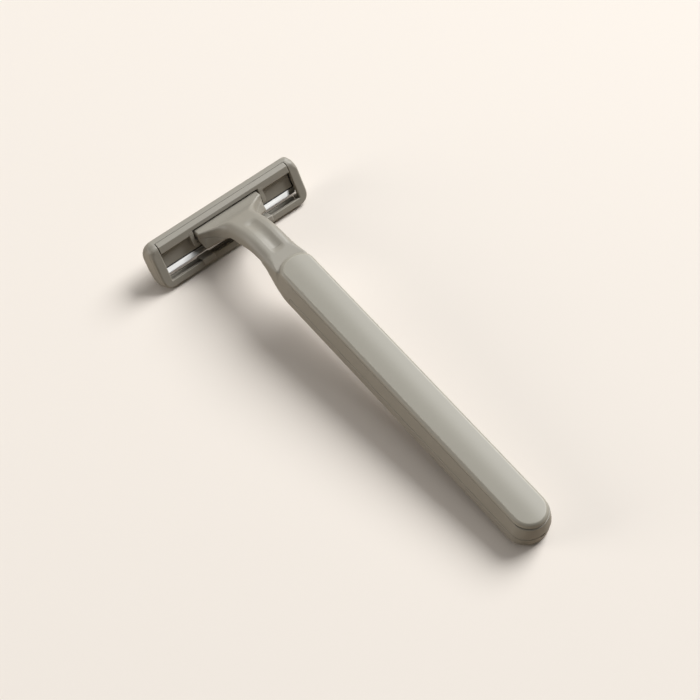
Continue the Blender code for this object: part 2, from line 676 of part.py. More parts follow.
def build_blade_carrier(material):
    """Inner bar with its crest, the blade bed, and the posts that hold the yoke."""
    crest = HEAD_RISE * CAP_SIDE_SHARES[3][0]
    plateau = (HEAD_RISE * CAP_SIDE_SHARES[4][0] - crest, HEAD_DEPTH * CAP_SIDE_SHARES[4][1])
    top = HEAD_RISE - FAR_RAIL - GAP
    top_depth = plateau[1] * (top - crest) / plateau[0]
    cap_back = cap_line(1.0)[1]
    heel = BLADE_WIDTH + BLADE_GAP
    upper_heel = BLADE_SPAN + BLADE_WIDTH + BLADE_GAP
    spacer_back = BLADE_THICKNESS + BLADE_GAP
    upper_back = spacer_back + SPACER_THICKNESS + BLADE_GAP
    spacer_end = SPACER_FRONT + SPACER_WIDTH + BLADE_GAP
    bed_front = (BED_LOW - EDGE_RISE) / math.cos(BLADE_ANGLE)
    outline = [
        from_pivot(BEAM_LOW, 0), from_pivot(crest, 0), from_pivot(top, top_depth),
        (cap_back - BLADE_GAP, top - PIVOT_RISE),
    ]
    cap_heel = stack_point(upper_heel, cap_offset())
    outline.append((cap_back - BLADE_GAP, cap_heel[1] + 2 * BLADE_GAP))
    outline.append((cap_heel[0] - BLADE_GAP, cap_heel[1] + BLADE_GAP))
    outline.append(stack_point(upper_heel, upper_back - BLADE_GAP))
    outline.append(stack_point(spacer_end, upper_back - BLADE_GAP))
    outline.append(stack_point(spacer_end, spacer_back - BLADE_GAP))
    outline.append(stack_point(heel, spacer_back - BLADE_GAP))
    outline.append(stack_point(heel, -BLADE_GAP))
    outline.append(stack_point(bed_front, -BLADE_GAP))
    outline.append(from_pivot(BED_LOW, BED_DEPTH))
    outline.append(from_pivot(BEAM_LOW, BED_DEPTH))
    carrier = prism("blade_carrier", outline, BACK_HALF_OPENING - GAP, 0.0, material)
    radius = YOKE_RADIUS + SWING_GAP
    sweep = [(-OVERRUN - PIVOT_DEPTH, radius * math.cos(SWING_START))]
    for i in range(7):
        angle = between(SWING_START, SWING_END, i / 6)
        sweep.append((radius * math.sin(angle), radius * math.cos(angle)))
    socket = BARREL_RADIUS + GAP
    for i in range(7):
        angle = math.pi / 2 * i / 6
        sweep.append((socket * math.cos(angle), -socket * math.sin(angle)))
    sweep.append((-OVERRUN - PIVOT_DEPTH, -socket))
    pocket = prism("yoke_pocket", sweep, YOKE_HALF_WIDTH + GAP)
    combine(carrier, pocket, "DIFFERENCE")
    combine(carrier, prism("stop_ledge", stop_outline(), YOKE_HALF_WIDTH - WALL), "UNION")
    for sign in (-1, 1):
        centre = sign * (YOKE_HALF_WIDTH + GAP + POST_THICKNESS / 2)
        post_outline = [
            from_pivot(POST_LOW, 0), from_pivot(BEAM_LOW + WALL, 0),
            from_pivot(BEAM_LOW + WALL, BED_DEPTH + GAP), from_pivot(POST_LOW, BED_DEPTH + GAP),
        ]
        combine(carrier, prism("post", post_outline, POST_THICKNESS / 2, centre), "UNION")
        start = (sign * YOKE_HALF_WIDTH, 0, 0)
        end = (sign * (YOKE_HALF_WIDTH + TRUNNION_LENGTH + GAP), 0, 0)
        hole = rod("socket", start, end, TRUNNION_RADIUS + RUNNING_GAP, 24)
        combine(carrier, hole, "DIFFERENCE")
    return drill_for_studs(carrier)


def build_blade(name, along, offset, material):
    """One strip of steel with its ground edge."""
    back, front = offset, offset + BLADE_THICKNESS
    outline = [
        stack_point(along, (back + front) / 2), stack_point(along + BEVEL_WIDTH, front),
        stack_point(along + BLADE_WIDTH, front), stack_point(along + BLADE_WIDTH, back),
        stack_point(along + BEVEL_WIDTH, back),
    ]
    return drill_for_studs(prism(name, outline, BLADE_HALF_LENGTH, 0.0, material))


def build_spacer(material):
    """The strip that holds the blades apart."""
    low = BLADE_THICKNESS + BLADE_GAP
    high = low + SPACER_THICKNESS
    outline = [
        stack_point(SPACER_FRONT, low), stack_point(SPACER_FRONT + SPACER_WIDTH, low),
        stack_point(SPACER_FRONT + SPACER_WIDTH, high), stack_point(SPACER_FRONT, high),
    ]
    return drill_for_studs(prism("blade_spacer", outline, BLADE_HALF_LENGTH, 0.0, material))


def cap_line(share):
    """A point along the cap's back, from its front edge to the far rail."""
    front = stack_point(CAP_FRONT, cap_offset())
    end = HEAD_RISE - FAR_RAIL - GAP - PIVOT_RISE
    return between(front[1], end, share), HEAD_DEPTH - CAP_THICKNESS - PIVOT_DEPTH


def cap_offset():
    """How far the cap's back lies from the lower blade's back."""
    return 2 * BLADE_THICKNESS + SPACER_THICKNESS + 3 * BLADE_GAP


def crown_point(share, height_share):
    """A point on the cap's shaving side."""
    front = stack_point(CAP_FRONT, cap_offset())
    rise, back = cap_line(share)
    level = between(front[0], back, share)
    return between(level, HEAD_DEPTH - PIVOT_DEPTH, height_share), rise


def build_blade_cap(material):
    """The cap that clamps the blades, with a bed for the strip."""
    heel = BLADE_SPAN + BLADE_WIDTH + BLADE_GAP
    rise_end, back = cap_line(1.0)
    outline = [stack_point(CAP_FRONT, cap_offset()), stack_point(heel, cap_offset())]
    outline.append((back, stack_point(heel, cap_offset())[1] + BLADE_GAP))
    outline.append((back, rise_end))
    outline += [crown_point(a, h) for a, h in reversed(CAP_CROWN_SHARES)]
    cap = prism("blade_cap", outline, BLADE_HALF_LENGTH, 0.0, material)
    low, high = strip_bed()
    bed = [(low[0], low[1] - GAP), (high[0] + OVERRUN, low[1] - GAP)]
    bed += [(high[0] + OVERRUN, high[1] + GAP), (low[0], high[1] + GAP)]
    combine(cap, prism("strip_bed", bed, STRIP_HALF_LENGTH + GAP), "DIFFERENCE")
    for place in stud_places():
        combine(cap, stud("cap_stud", place, STUD_RADIUS, -STUD_SINK, cap_offset() + STUD_RADIUS), "UNION")
    return cap


def strip_bed():
    """Low and high corners of the lubricating strip's bed in side view."""
    middle = cap_line(STRIP_PLACE_SHARE)[0]
    floor_depth = HEAD_DEPTH - PIVOT_DEPTH - STRIP_SINK
    return (floor_depth, middle - STRIP_WIDTH / 2), (HEAD_DEPTH - PIVOT_DEPTH, middle + STRIP_WIDTH / 2)


def build_lubricating_strip(material):
    """The strip in the cap's bed, a little crowned."""
    low, high = strip_bed()
    base = low[0] + BLADE_GAP
    crown = STRIP_SINK * STRIP_CROWN_SHARE
    flat_low, flat_high = STRIP_FLAT_SHARES
    outline = [(base, low[1]), (base, high[1]), (high[0] - crown, high[1])]
    outline += [(high[0], between(low[1], high[1], flat_high)), (high[0], between(low[1], high[1], flat_low))]
    outline.append((high[0] - crown, low[1]))
    return prism("lubricating_strip", outline, STRIP_HALF_LENGTH, 0.0, material)


def build_guard_strip(material):
    """Finned strip on the guard rail, with two lugs hooked over the rail's back."""
    base = guard_base_line() + GAP / 2
    low = GUARD_RISE * STRIP_LOW_SHARE
    high = GUARD_RISE + BLADE_GAP + LUG_WALL
    outline = [from_pivot(low, base), from_pivot(high, base), from_pivot(high, base + STRIP_BASE)]
    pitch = (GUARD_RISE - low) / FIN_COUNT
    for i in reversed(range(FIN_COUNT)):
        start = low + pitch * i
        outline.append(from_pivot(start + FIN_THICKNESS * 2, base + STRIP_BASE))
        for side_share in FIN_TIP_SHARES:
            rise = start + FIN_THICKNESS * side_share
            outline.append(from_pivot(rise, fin_tip(rise)))
        if i:
            outline.append(from_pivot(start, base + STRIP_BASE))
    outline.append(from_pivot(low, base + STRIP_BASE))
    strip = prism("guard_strip", outline, BACK_HALF_OPENING - GAP, 0.0, material)
    inner = GUARD_RISE + BLADE_GAP
    back = -BLADE_GAP - LUG_WALL
    hook = [
        from_pivot(high, base + STRIP_BASE / 2), from_pivot(inner, base + STRIP_BASE / 2),
        from_pivot(inner, -BLADE_GAP), from_pivot(LUG_LOW, -BLADE_GAP), from_pivot(LUG_LOW, back),
        from_pivot(high, back),
    ]
    for sign in (-1, 1):
        centre = sign * (LUG_INNER + LUG_WIDTH / 2)
        combine(strip, prism("lug", hook, LUG_WIDTH / 2, centre), "UNION")
    return strip


def shade(piece, angle=math.radians(35)):
    """Smooth shading with sharp edges kept."""
    piece.data.shade_smooth()
    piece.data.set_sharp_from_angle(angle=angle)


def hold(piece, parent):
    """Parent a piece, keeping its own coordinates."""
    piece.parent = parent


def table_pitch():
    """Pitch of the handle with the round of its butt and the guard's foot on one plane."""
    butt = Vector((BOTTOM_ROUND, BOTTOM_ROUND))
    lowest = 0.0
    for point in cap_side_outline():
        along, up = head_to_handle(*point)
        run, drop = along - butt.x, up - butt.y
        reach = math.hypot(run, drop)
        pitch = math.asin(BOTTOM_ROUND / reach) + math.atan2(drop, run)
        lowest = min(lowest, pitch)
    return -lowest


def main():
    """Make every piece, set the head on its pivot and stand the razor on the floor."""
    for item in list(bpy.data.objects):
        bpy.data.objects.remove(item)
    plastic = make_material("matt_plastic", PLASTIC, 0.55)
    soft = make_material("soft_plastic", PLASTIC_SOFT, 0.65)
    steel = make_material("blade_steel", STEEL, 0.25, 1.0)
    spring = make_material("spring_steel", STEEL, 0.35, 1.0)
    wax = make_material("strip_polymer", STRIP_COLOUR, 0.4)

    handle_frame = bpy.data.objects.new("handle_frame", None)
    head_pivot = bpy.data.objects.new("head_pivot", None)
    for empty in (handle_frame, head_pivot):
        bpy.context.collection.objects.link(empty)
    head_pivot.parent = handle_frame
    head_pivot.location = (0, PIVOT_ALONG, -PIVOT_DROP)
    head_pivot.rotation_euler = (-HEAD_TILT, 0, 0)
    handle_frame.rotation_euler = (table_pitch(), 0, 0)

    handle = [
        build_handle_shell(plastic), build_back_cover(plastic), build_grip_pad(soft), build_return_leaf(spring),
    ]
    upper_offset = BLADE_THICKNESS + 2 * BLADE_GAP + SPACER_THICKNESS
    head = [
        build_head_frame(plastic), build_blade_carrier(plastic), build_guard_strip(soft),
        build_blade("lower_blade", 0.0, 0.0, steel), build_spacer(plastic),
        build_blade("upper_blade", BLADE_SPAN, upper_offset, steel), build_blade_cap(plastic),
        build_lubricating_strip(wax),
    ]
    for piece in handle:
        hold(piece, handle_frame)
    for piece in head:
        hold(piece, head_pivot)
    for piece in handle + head:
        shade(piece)

    bpy.context.view_layer.update()
    corners = [piece.matrix_world @ vertex.co for piece in handle + head for vertex in piece.data.vertices]
    lows = [min(point[i] for point in corners) for i in range(3)]
    highs = [max(point[i] for point in corners) for i in range(3)]
    handle_frame.location = (-(lows[0] + highs[0]) / 2, -(lows[1] + highs[1]) / 2, -lows[2])
    bpy.context.view_layer.update()


main()
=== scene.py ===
"""Looks of a disposable razor that lies blades down: moulded pieces, blades, finishes, stage and camera.

Laid out as an add-on and run as a script. Every moulded piece is a distance field with rounded edges that is
meshed over a box of grid lines, in the handle's own coordinates (x, along from the butt, height above the cover)
or the head's (x, depth below the back, rise above the guard's foot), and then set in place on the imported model.
"""
import json
import math

import bpy
import numpy as np
from bpy.props import FloatProperty, FloatVectorProperty, IntProperty, PointerProperty
from mathutils import Matrix, Vector


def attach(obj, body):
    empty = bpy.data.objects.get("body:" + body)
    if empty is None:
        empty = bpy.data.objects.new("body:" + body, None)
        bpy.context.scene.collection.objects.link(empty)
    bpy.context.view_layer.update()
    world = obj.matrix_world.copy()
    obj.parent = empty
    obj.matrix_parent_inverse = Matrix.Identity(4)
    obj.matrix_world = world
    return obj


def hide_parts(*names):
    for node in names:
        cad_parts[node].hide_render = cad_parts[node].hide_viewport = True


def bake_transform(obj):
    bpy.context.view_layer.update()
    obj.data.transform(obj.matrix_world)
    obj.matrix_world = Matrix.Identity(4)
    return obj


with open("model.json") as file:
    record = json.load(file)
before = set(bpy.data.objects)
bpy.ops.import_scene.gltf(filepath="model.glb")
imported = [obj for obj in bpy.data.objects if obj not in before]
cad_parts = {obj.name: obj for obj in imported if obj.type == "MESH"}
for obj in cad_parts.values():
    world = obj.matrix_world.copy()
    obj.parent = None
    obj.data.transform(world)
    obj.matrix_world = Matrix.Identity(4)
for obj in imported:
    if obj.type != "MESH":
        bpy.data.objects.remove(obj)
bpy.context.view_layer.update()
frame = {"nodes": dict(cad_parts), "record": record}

bl_info = {
    "name": "Disposable razor",
    "version": (1, 0, 0),
    "blender": (4, 5, 0),
    "location": "3D View > Sidebar > Razor",
    "description": "Builds the visible pieces, finishes, stage and camera of a disposable razor",
    "category": "Object",
}

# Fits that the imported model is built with
GAP = 0.0003
BLADE_GAP = 0.00015
SOCKET_GAP = 0.00007

# Further out than any piece, for outlines that are open on one side
FAR = 0.02

# Rounds along edges that have no radius of their own, from the finest to the softest
FINE_ROUND = 0.00004
CUT_ROUND = 0.00008
EDGE_ROUND = 0.0001
WALL_ROUND = 0.0002
TUB_ROUND = 0.0003

# How the meshes are drawn
SURFACE_PULL = 0.00008
SURFACE_FEEL = 0.00001
LEAST_SLOPE = 0.3
BEND_SCALE = 0.0004
BUTT_STEPS = 28
SHARP_ANGLE = math.radians(40)

# Handle sizes that no one would change on their own
BUTT_DEPTH = 0.00437
DECK_BUTT_INSET = 0.00095
LIP_HEIGHT = 0.0008
LIP_WALL = 0.0007
COVER_FLOOR = 0.0011
DECK_THICKNESS = 0.0010
NECK_REACH = 0.0277
NECK_OVERHANG = 0.0100
FILLET_RADIUS = 0.0065
LOW_FILLET_RADIUS = 0.0085
FILLET_SHIFT = 0.00125
PAD_FRONT_DEPTH = 0.0031
PIVOT_DROP = 0.00336
YOKE_RADIUS = 0.0023
FAR_EDGE = math.radians(-8)
YOKE_NEAR = 0.00131
YOKE_NEAR_HEIGHT = 0.0031
YOKE_FOOT = 0.00275
YOKE_FOOT_DROP = 0.00119
BARREL_RADIUS = 0.00087
TRUNNION_RADIUS = 0.00045
TRUNNION_LENGTH = 0.0008
RIB_DROP = 0.0010
RIB_THICKNESS = 0.0008
PEG_RADIUS = 0.0008
PEG_LENGTH = 0.0009
LEAF_ROOT = (0.08231, 0.00404)
LEAF_TIP = (0.10326, -0.00291)
LEAF_HALF_WIDTH = 0.0013
LEAF_THICKNESS = 0.00035
LEAF_PIVOT = 0.1017
LEAF_ROOT_LENGTH = 0.0022
LEAF_ROOT_THICKNESS = 0.0008
SLOT_REACH = 0.002
PEG_MARGIN = 0.0013

# Neck's rounds: they grow past the cover's end, and sharpen before the pivot and out on the yoke's wings
GRIP_FILLET = 0.0009
GRIP_EDGE = 0.00016
UNDER_EDGE = 0.00012
UNDER_ROUND = 0.00035
NECK_BLEND = (0.0040, 0.0105)
YOKE_BLEND = (-0.0042, -0.0012)
YOKE_SHARPEN = 0.72
WING_BLEND = (0.0055, 0.0085)
WING_SHARPEN = 0.12
WING_START = 0.008
WING_ROUND = 0.0019

# Hollow along the neck's top, and the fine parting line on the yoke's wall; their places count from the pivot
DIMPLE_SPAN = (-0.0182, -0.0068)
DIMPLE_RISE = 3.2
PARTING_HEIGHT = 0.62
PARTING_SLOPE = 0.19
PARTING_DEPTH = 0.0001
PARTING_WIDTH = 0.00009
PARTING_BLEND = (-0.008, -0.006)

# Pry notch of the cover, and the flank and tip of the thumb pad
NOTCH_HALF_WIDTH = 0.0006
NOTCH_LENGTH = 0.00075
NOTCH_DROP = 0.00042
PAD_FOOT = 0.00003
PAD_STEEP = math.radians(85)
PAD_GENTLE = math.radians(27)
PAD_TIP = 0.34

# Head sizes that no one would change on their own
HEAD_TILT = math.radians(36.9)
PIVOT_RISE = 0.0063
PIVOT_DEPTH = 0.0007
LOW_CORNER = (0.0024, 0.0015)
FAR_CORNER = (0.0034, 0.0023)
LEDGE_DEPTH = 0.0011
END_WALL = 0.0009
END_SKIN = 0.0006
BEAM_LOW = 0.0081
BED_LOW = 0.0042
BED_DEPTH = 0.00136
POST_THICKNESS = 0.0010
POST_LOW = 0.0053
POST_GAP = 0.0004
POST_LAP = 0.0008
POST_ROUND = 0.00012
END_LINE = 0.00012
SWING_GAP = 0.00038
STOP_LOW = 0.00174
STOP_HIGH = 0.0012
BLADE_WIDTH = 0.0033
BLADE_THICKNESS = 0.0001
BLADE_ANGLE = math.radians(16.0)
EDGE_RISE = 0.00176
EDGE_DEPTH = 0.0031
BLADE_SPAN = 0.00152
SPACER_THICKNESS = 0.0003
SPACER_FRONT = 0.0013
SPACER_WIDTH = 0.0030
CAP_FRONT = 0.0024
CAP_THICKNESS = 0.0011
STRIP_END = 0.0020
STRIP_SINK = 0.0005
STUD_RADIUS = 0.00025
STUD_ALONG = 0.0028
STUD_PITCH = 0.0092
STUD_SINK = 0.00045
STRIP_BASE = 0.0003
FIN_HEIGHT = 0.0004
FIN_THICKNESS = 0.0002
GUARD_ANGLE = math.radians(11.0)
LUG_INNER = 0.00655
LUG_WIDTH = 0.0033
LUG_LOW = 0.00045
LUG_WALL = 0.0003
RAIL_THICKNESS = 0.00095
RAIL_FLOOR = 0.0008
STRIP_HIGH = 0.0013
GUARD_LOW = 0.34
SWEEP_ANGLES = (-10, 37)

# Extra round at the end caps' crest, the groove on their faces, and the strip's channels
CREST_SPAN = (0.0078, 0.0092)
CREST_DEPTH = 0.0016
CREST_ROUND = 0.0006
GROOVE_INSET = 0.0009
GROOVE_HALF_WIDTH = 0.00007
GROOVE_ROUND = 0.00003
STRIP_CHANNELS = 6
CHANNEL_DEPTH = 0.000016

# Dark bands painted on the blades: the ground edge, partly its coated tone and partly painted shade for its bevel,
# where the painted shade under the bed's lip starts, and how dark each is
GROUND_EDGE = 0.00015
BED_SHADE = 0.00168
BEYOND_BLADE = 0.001
EDGE_TONE = 0.45
SHADE_TONE = 0.05
BAND_BORDER = 0.00004

# Shares of the reach from cover to pivot and of the deck's height
NECK_TOP = [
    (0.249, 0.979), (0.335, 0.972), (0.430, 0.966), (0.540, 0.950), (0.639, 0.870), (0.772, 0.625), (0.873, 0.335),
]
NECK_UNDER = [
    (0.025, 0.016), (0.079, 0.132), (0.152, 0.229), (0.216, 0.328), (0.282, 0.456), (0.350, 0.539),
    (0.455, 0.540), (0.545, 0.455), (0.664, 0.216), (0.758, 0.022), (0.809, -0.174),
]
# Shares of the way from the grip's width to the neck's, along the tapering front
TAPER = [(0.0, 0.0), (0.14, 0.03), (0.28, 0.12), (0.42, 0.27), (0.55, 0.45), (0.68, 0.65), (0.8, 0.83), (1.0, 1.05)]
# Shares of the head's rise and depth round the side view of an end cap, each with the round of its corner
CAP_SIDE = [
    (-0.020, 0.060, 0.3), (-0.014, 0.000, 0.12), (0.871, 0.000, 1.5), (0.961, 0.287, 0.5), (0.993, 0.430, 0.6),
    (1.000, 0.510, 0.6), (0.985, 0.600, 0.8), (0.955, 0.700, 1.0), (0.900, 0.813, 1.2), (0.820, 0.915, 1.5),
    (0.700, 0.981, 2.0), (0.400, 0.976, 2.5), (0.230, 0.880, 1.5), (0.057, 0.711, 0.6), (0.012, 0.554, 0.4),
    (-0.002, 0.410, 0.4),
]
# Shares of the leaf's reach and of its drop, from its root to its tip
LEAF_SHARES = [(0.0, 0.0), (0.25, 0.03), (0.48, 0.28), (0.68, 0.55), (0.84, 0.78), (1.0, 1.0)]
# Shares of the cap's width and thickness, on its shaving side
CAP_CROWN = [(0.02, 0.30), (0.14, 0.62), (0.62, 1.0), (0.90, 0.92), (0.99, 0.62)]

# Where the camera stands: turn and height of its view, distance, and the point that it looks at
VIEW_TURN = math.radians(-40.28)
VIEW_HEIGHT = math.radians(56.0)
VIEW_DISTANCE = 0.37982
VIEW_POINT = (0.000706, 0.007249, -0.000011)
VIEW_LENS = 90.4
VIEW_SENSOR = 36.0

# Floor, and the lamps: turn and height in degrees, distance, size and tint
FLOOR_REACH = 1.6
FLOOR_DROP = 0.00002
LAMPS = {
    "key_lamp": (10, 41, 1.9, 1.25, (1.0, 1.0, 0.99)), "top_lamp": (20, 70, 1.9, 2.1, (1.0, 0.99, 0.97)),
    "side_lamp": (148, 16, 0.9, 0.5, (1.0, 0.96, 0.91)), "steel_card": (-56, 44, 0.8, 0.2, (1.0, 1.0, 1.0)),
}
TOP_SHARE = 0.15
SKY_TINT = (1.0, 0.95, 0.88, 1.0)

JOINT = frame["record"]["behaviour"]["joints"][0]
PIVOT = Vector(JOINT["pos_m"])
PAD_AXIS = next(mount["axis"] for mount in frame["record"]["mounts"] if mount["name"] == "pad_top")
PITCH = math.atan2(-PAD_AXIS[1], PAD_AXIS[2])


def length(name, description, default):
    """A length that a user may change."""
    return FloatProperty(
        name=name, description=description, default=default, min=0.0, precision=5, subtype="DISTANCE", unit="LENGTH"
    )


def colour(name, description, default):
    """A colour that a user may change."""
    return FloatVectorProperty(
        name=name, description=description, default=default, min=0.0, max=1.0, size=3, subtype="COLOR"
    )


def light_level(name, description, default):
    """The strength of a lamp, which a user may change."""
    return FloatProperty(name=name, description=description, default=default, min=0.0)


def how_many(name, description, default, least):
    """A number of like parts that a user may change."""
    return IntProperty(name=name, description=description, default=default, min=least)


class HandleSizes(bpy.types.PropertyGroup):
    """Sizes of the pieces of the handle."""

    grip_half_width: length("Grip half width", "Half the width of the grip at its seam", 0.00504)
    seam_height: length("Seam height", "Height of the seam between the shell and the cover", 0.00307)
    seam_gap: length("Seam gap", "Width of the seam's line", 0.00004)
    deck_height: length("Deck height", "Height of the deck that carries the thumb pad", 0.0062)
    deck_inset: length("Deck inset", "How far the grip's walls lean in up to the deck", 0.0008)
    bottom_round: length("Bottom round", "Radius along the lower edge of the cover", 0.0011)
    wall: length("Wall", "Thickness of the grip's walls", 0.0012)
    cover_length: length("Cover length", "Length of the cover from the butt", 0.0740)
    pad_overhang: length("Pad overhang", "How far the thumb pad reaches past the cover", 0.0069)
    pad_thickness: length("Pad thickness", "Height of the thumb pad above its gap", 0.00102)
    pad_side_round: length("Pad round", "Radius along the sides of the thumb pad", 0.00134)
    pad_crown: length("Pad crown", "How much lower the pad's top is at its sides than along its middle", 0.0005)
    neck_half_width: length("Neck half width", "Half the width of the neck", 0.0041)
    neck_round: length("Neck round", "Radius along the upper edges of the neck", 0.0019)
    yoke_half_width: length("Yoke half width", "Half the width of the yoke", 0.00883)
    dimple_depth: length("Dimple depth", "Depth of the hollow along the top of the neck", 0.00048)
    dimple_width: length("Dimple width", "Width of the hollow along the top of the neck", 0.0034)
    rib_count: how_many("Ribs", "Cross ribs inside the grip", 5, 2)
    peg_count: how_many("Pegs", "Pegs that hold the thumb pad", 3, 1)


class HeadSizes(bpy.types.PropertyGroup):
    """Sizes of the pieces of the head."""

    half_length: length("Half length", "Half the length of the head at its back", 0.0204)
    end_flare: length("End flare", "How much longer the head is at its shaving side, at each end", 0.0005)
    rise: length("Rise", "Size of the head from the guard's foot to its far edge", 0.0113)
    depth: length("Depth", "Size of the head from its back to the shaving side", 0.00415)
    guard_rise: length("Guard rise", "Width of the guard rail", 0.00134)
    far_rail: length("Far rail", "Thickness of the rail behind the crest bar", 0.00064)
    cap_width: length("End cap width", "Width of an end cap's back face", 0.00226)
    line_gap: length("Line gap", "Width of the line between the crest bar and the frame", 0.00003)
    end_round: length("End round", "Radius round an end cap's face", 0.0005)
    strip_width: length("Strip width", "Width of the lubricating strip", 0.0028)
    fin_count: how_many("Fins", "Fins along the guard strip", 3, 2)
    stud_count: how_many("Studs", "Studs that clamp the blades", 4, 2)


class Finish(bpy.types.PropertyGroup):
    """Colours and light."""

    plastic: colour("Plastic", "Moulded plastic of the handle and the head", (0.322, 0.303, 0.262))
    soft_plastic: colour("Soft plastic", "Moulding of the thumb pad", (0.349, 0.333, 0.286))
    guard: colour("Guard", "Moulding of the guard strip and its lugs", (0.375, 0.355, 0.314))
    steel: colour("Blade steel", "Rolled strip steel", (0.78, 0.78, 0.77))
    spring: colour("Spring steel", "Satin spring strip", (0.70, 0.70, 0.68))
    strip: colour("Strip", "Waxy lubricating strip", (0.62, 0.66, 0.60))
    floor: colour("Floor", "Pale paper under the razor", (0.86, 0.805, 0.75))
    bounce: colour("Bounce", "Light that the paper throws back on the razor", (0.56, 0.47, 0.375))
    key_power: light_level("Key light", "Power of the large soft lamp", 45.0)
    side_power: light_level("Side light", "Power of the weak lamp opposite", 3.3)
    card_power: light_level("Card", "Power of the card that steel reflects", 29.0)
    fill: light_level("Fill light", "Strength of the world's even light", 0.08)


# Outlines and distances


def between(low, high, share):
    """The value a share of the way from one to the other."""
    return low + (high - low) * share


def curve_through(points, steps=6):
    """A smooth line through the points, with a few steps in each span."""
    ends = [points[0], *points, points[-1]]
    line = []
    for a, b, c, d in zip(ends, ends[1:], ends[2:], ends[3:]):
        for i in range(steps):
            t = i / steps
            line.append(tuple(
                0.5 * (2 * q + (r - p) * t + (2 * p - 5 * q + 4 * r - s) * t**2 + (3 * q - p - 3 * r + s) * t**3)
                for p, q, r, s in zip(a, b, c, d)
            ))
    line.append(points[-1])
    return line


def arc(centre, radius, start, end, steps):
    """Points on a circle from one angle to another, both included."""
    angles = [between(start, end, i / steps) for i in range(steps + 1)]
    return [(centre[0] + radius * math.cos(a), centre[1] + radius * math.sin(a)) for a in angles]


def rounded(corners, steps=6):
    """A closed outline from corners (u, v, radius), each turned into an arc where its radius isn't zero."""
    line = []
    count = len(corners)
    for i, (u, v, radius) in enumerate(corners):
        here = Vector((u, v))
        back = Vector(corners[i - 1][:2]) - here
        ahead = Vector(corners[(i + 1) % count][:2]) - here
        angle = back.angle(ahead)
        if radius < 1e-7 or angle > math.radians(178):
            line.append((u, v))
            continue
        cut = min(radius / math.tan(angle / 2), 0.49 * back.length, 0.49 * ahead.length)
        radius = cut * math.tan(angle / 2)
        middle = (back.normalized() + ahead.normalized()).normalized()
        centre = here + middle * (radius / math.sin(angle / 2))
        start = here + back.normalized() * cut - centre
        end = here + ahead.normalized() * cut - centre
        first = math.atan2(start.y, start.x)
        turn = (math.atan2(end.y, end.x) - first + math.pi) % (2 * math.pi) - math.pi
        line += arc(centre, radius, first, first + turn, steps)
    return line


def outline_distance(outline, u, v):
    """Distance from points to a closed outline, negative inside it."""
    shape = np.broadcast_shapes(np.shape(u), np.shape(v))
    nearest = np.full(shape, np.inf)
    inside = np.zeros(shape, bool)
    for (u0, v0), (u1, v1) in zip(outline, outline[1:] + outline[:1]):
        run, rise = u1 - u0, v1 - v0
        size = run * run + rise * rise
        if size < 1e-18:
            continue
        along = np.clip(((u - u0) * run + (v - v0) * rise) / size, 0.0, 1.0)
        nearest = np.minimum(nearest, (u - u0 - along * run) ** 2 + (v - v0 - along * rise) ** 2)
        if rise:
            inside ^= ((v0 > v) != (v1 > v)) & (u < u0 + run * (v - v0) / rise)
    return np.where(inside, -1.0, 1.0) * np.sqrt(nearest)


def both(a, b, radius=0.0):
    """What lies in both shapes, with a round where their faces meet."""
    corner = np.hypot(np.maximum(a + radius, 0.0), np.maximum(b + radius, 0.0))
    return np.minimum(np.maximum(a, b), -radius) + corner


def either(a, b, radius=0.0):
    """What lies in one shape or the other, with a fillet between them."""
    corner = np.hypot(np.maximum(radius - a, 0.0), np.maximum(radius - b, 0.0))
    return np.maximum(np.minimum(a, b), radius) - corner


def cut(a, b, radius=0.0):
    """The first shape without the second, with a round along the cut."""
    return both(a, -b, radius)


def span(value, low, high):
    """Distance to the slab between two values."""
    return np.abs(value - (low + high) / 2) - (high - low) / 2


def smooth_step(value, low, high):
    """Zero below the low value, one above the high one, and a soft way between."""
    t = np.clip((value - low) / (high - low), 0.0, 1.0)
    return t * t * (3 - 2 * t)


# Meshing


def grid_lines(*spans):
    """Grid lines from (start, end, step) spans that follow each other."""
    coarse = 1.0
    lines = []
    for start, end, step in spans:
        count = max(1, round((end - start) / (step * coarse)))
        lines.extend(start + (end - start) * i / count for i in range(count))
    lines.append(spans[-1][1])
    return np.array(lines)


def mirrored_lines(*spans):
    """Grid lines on both sides of zero, from spans of the positive side."""
    right = grid_lines(*spans)
    return np.concatenate([-right[:0:-1], right])


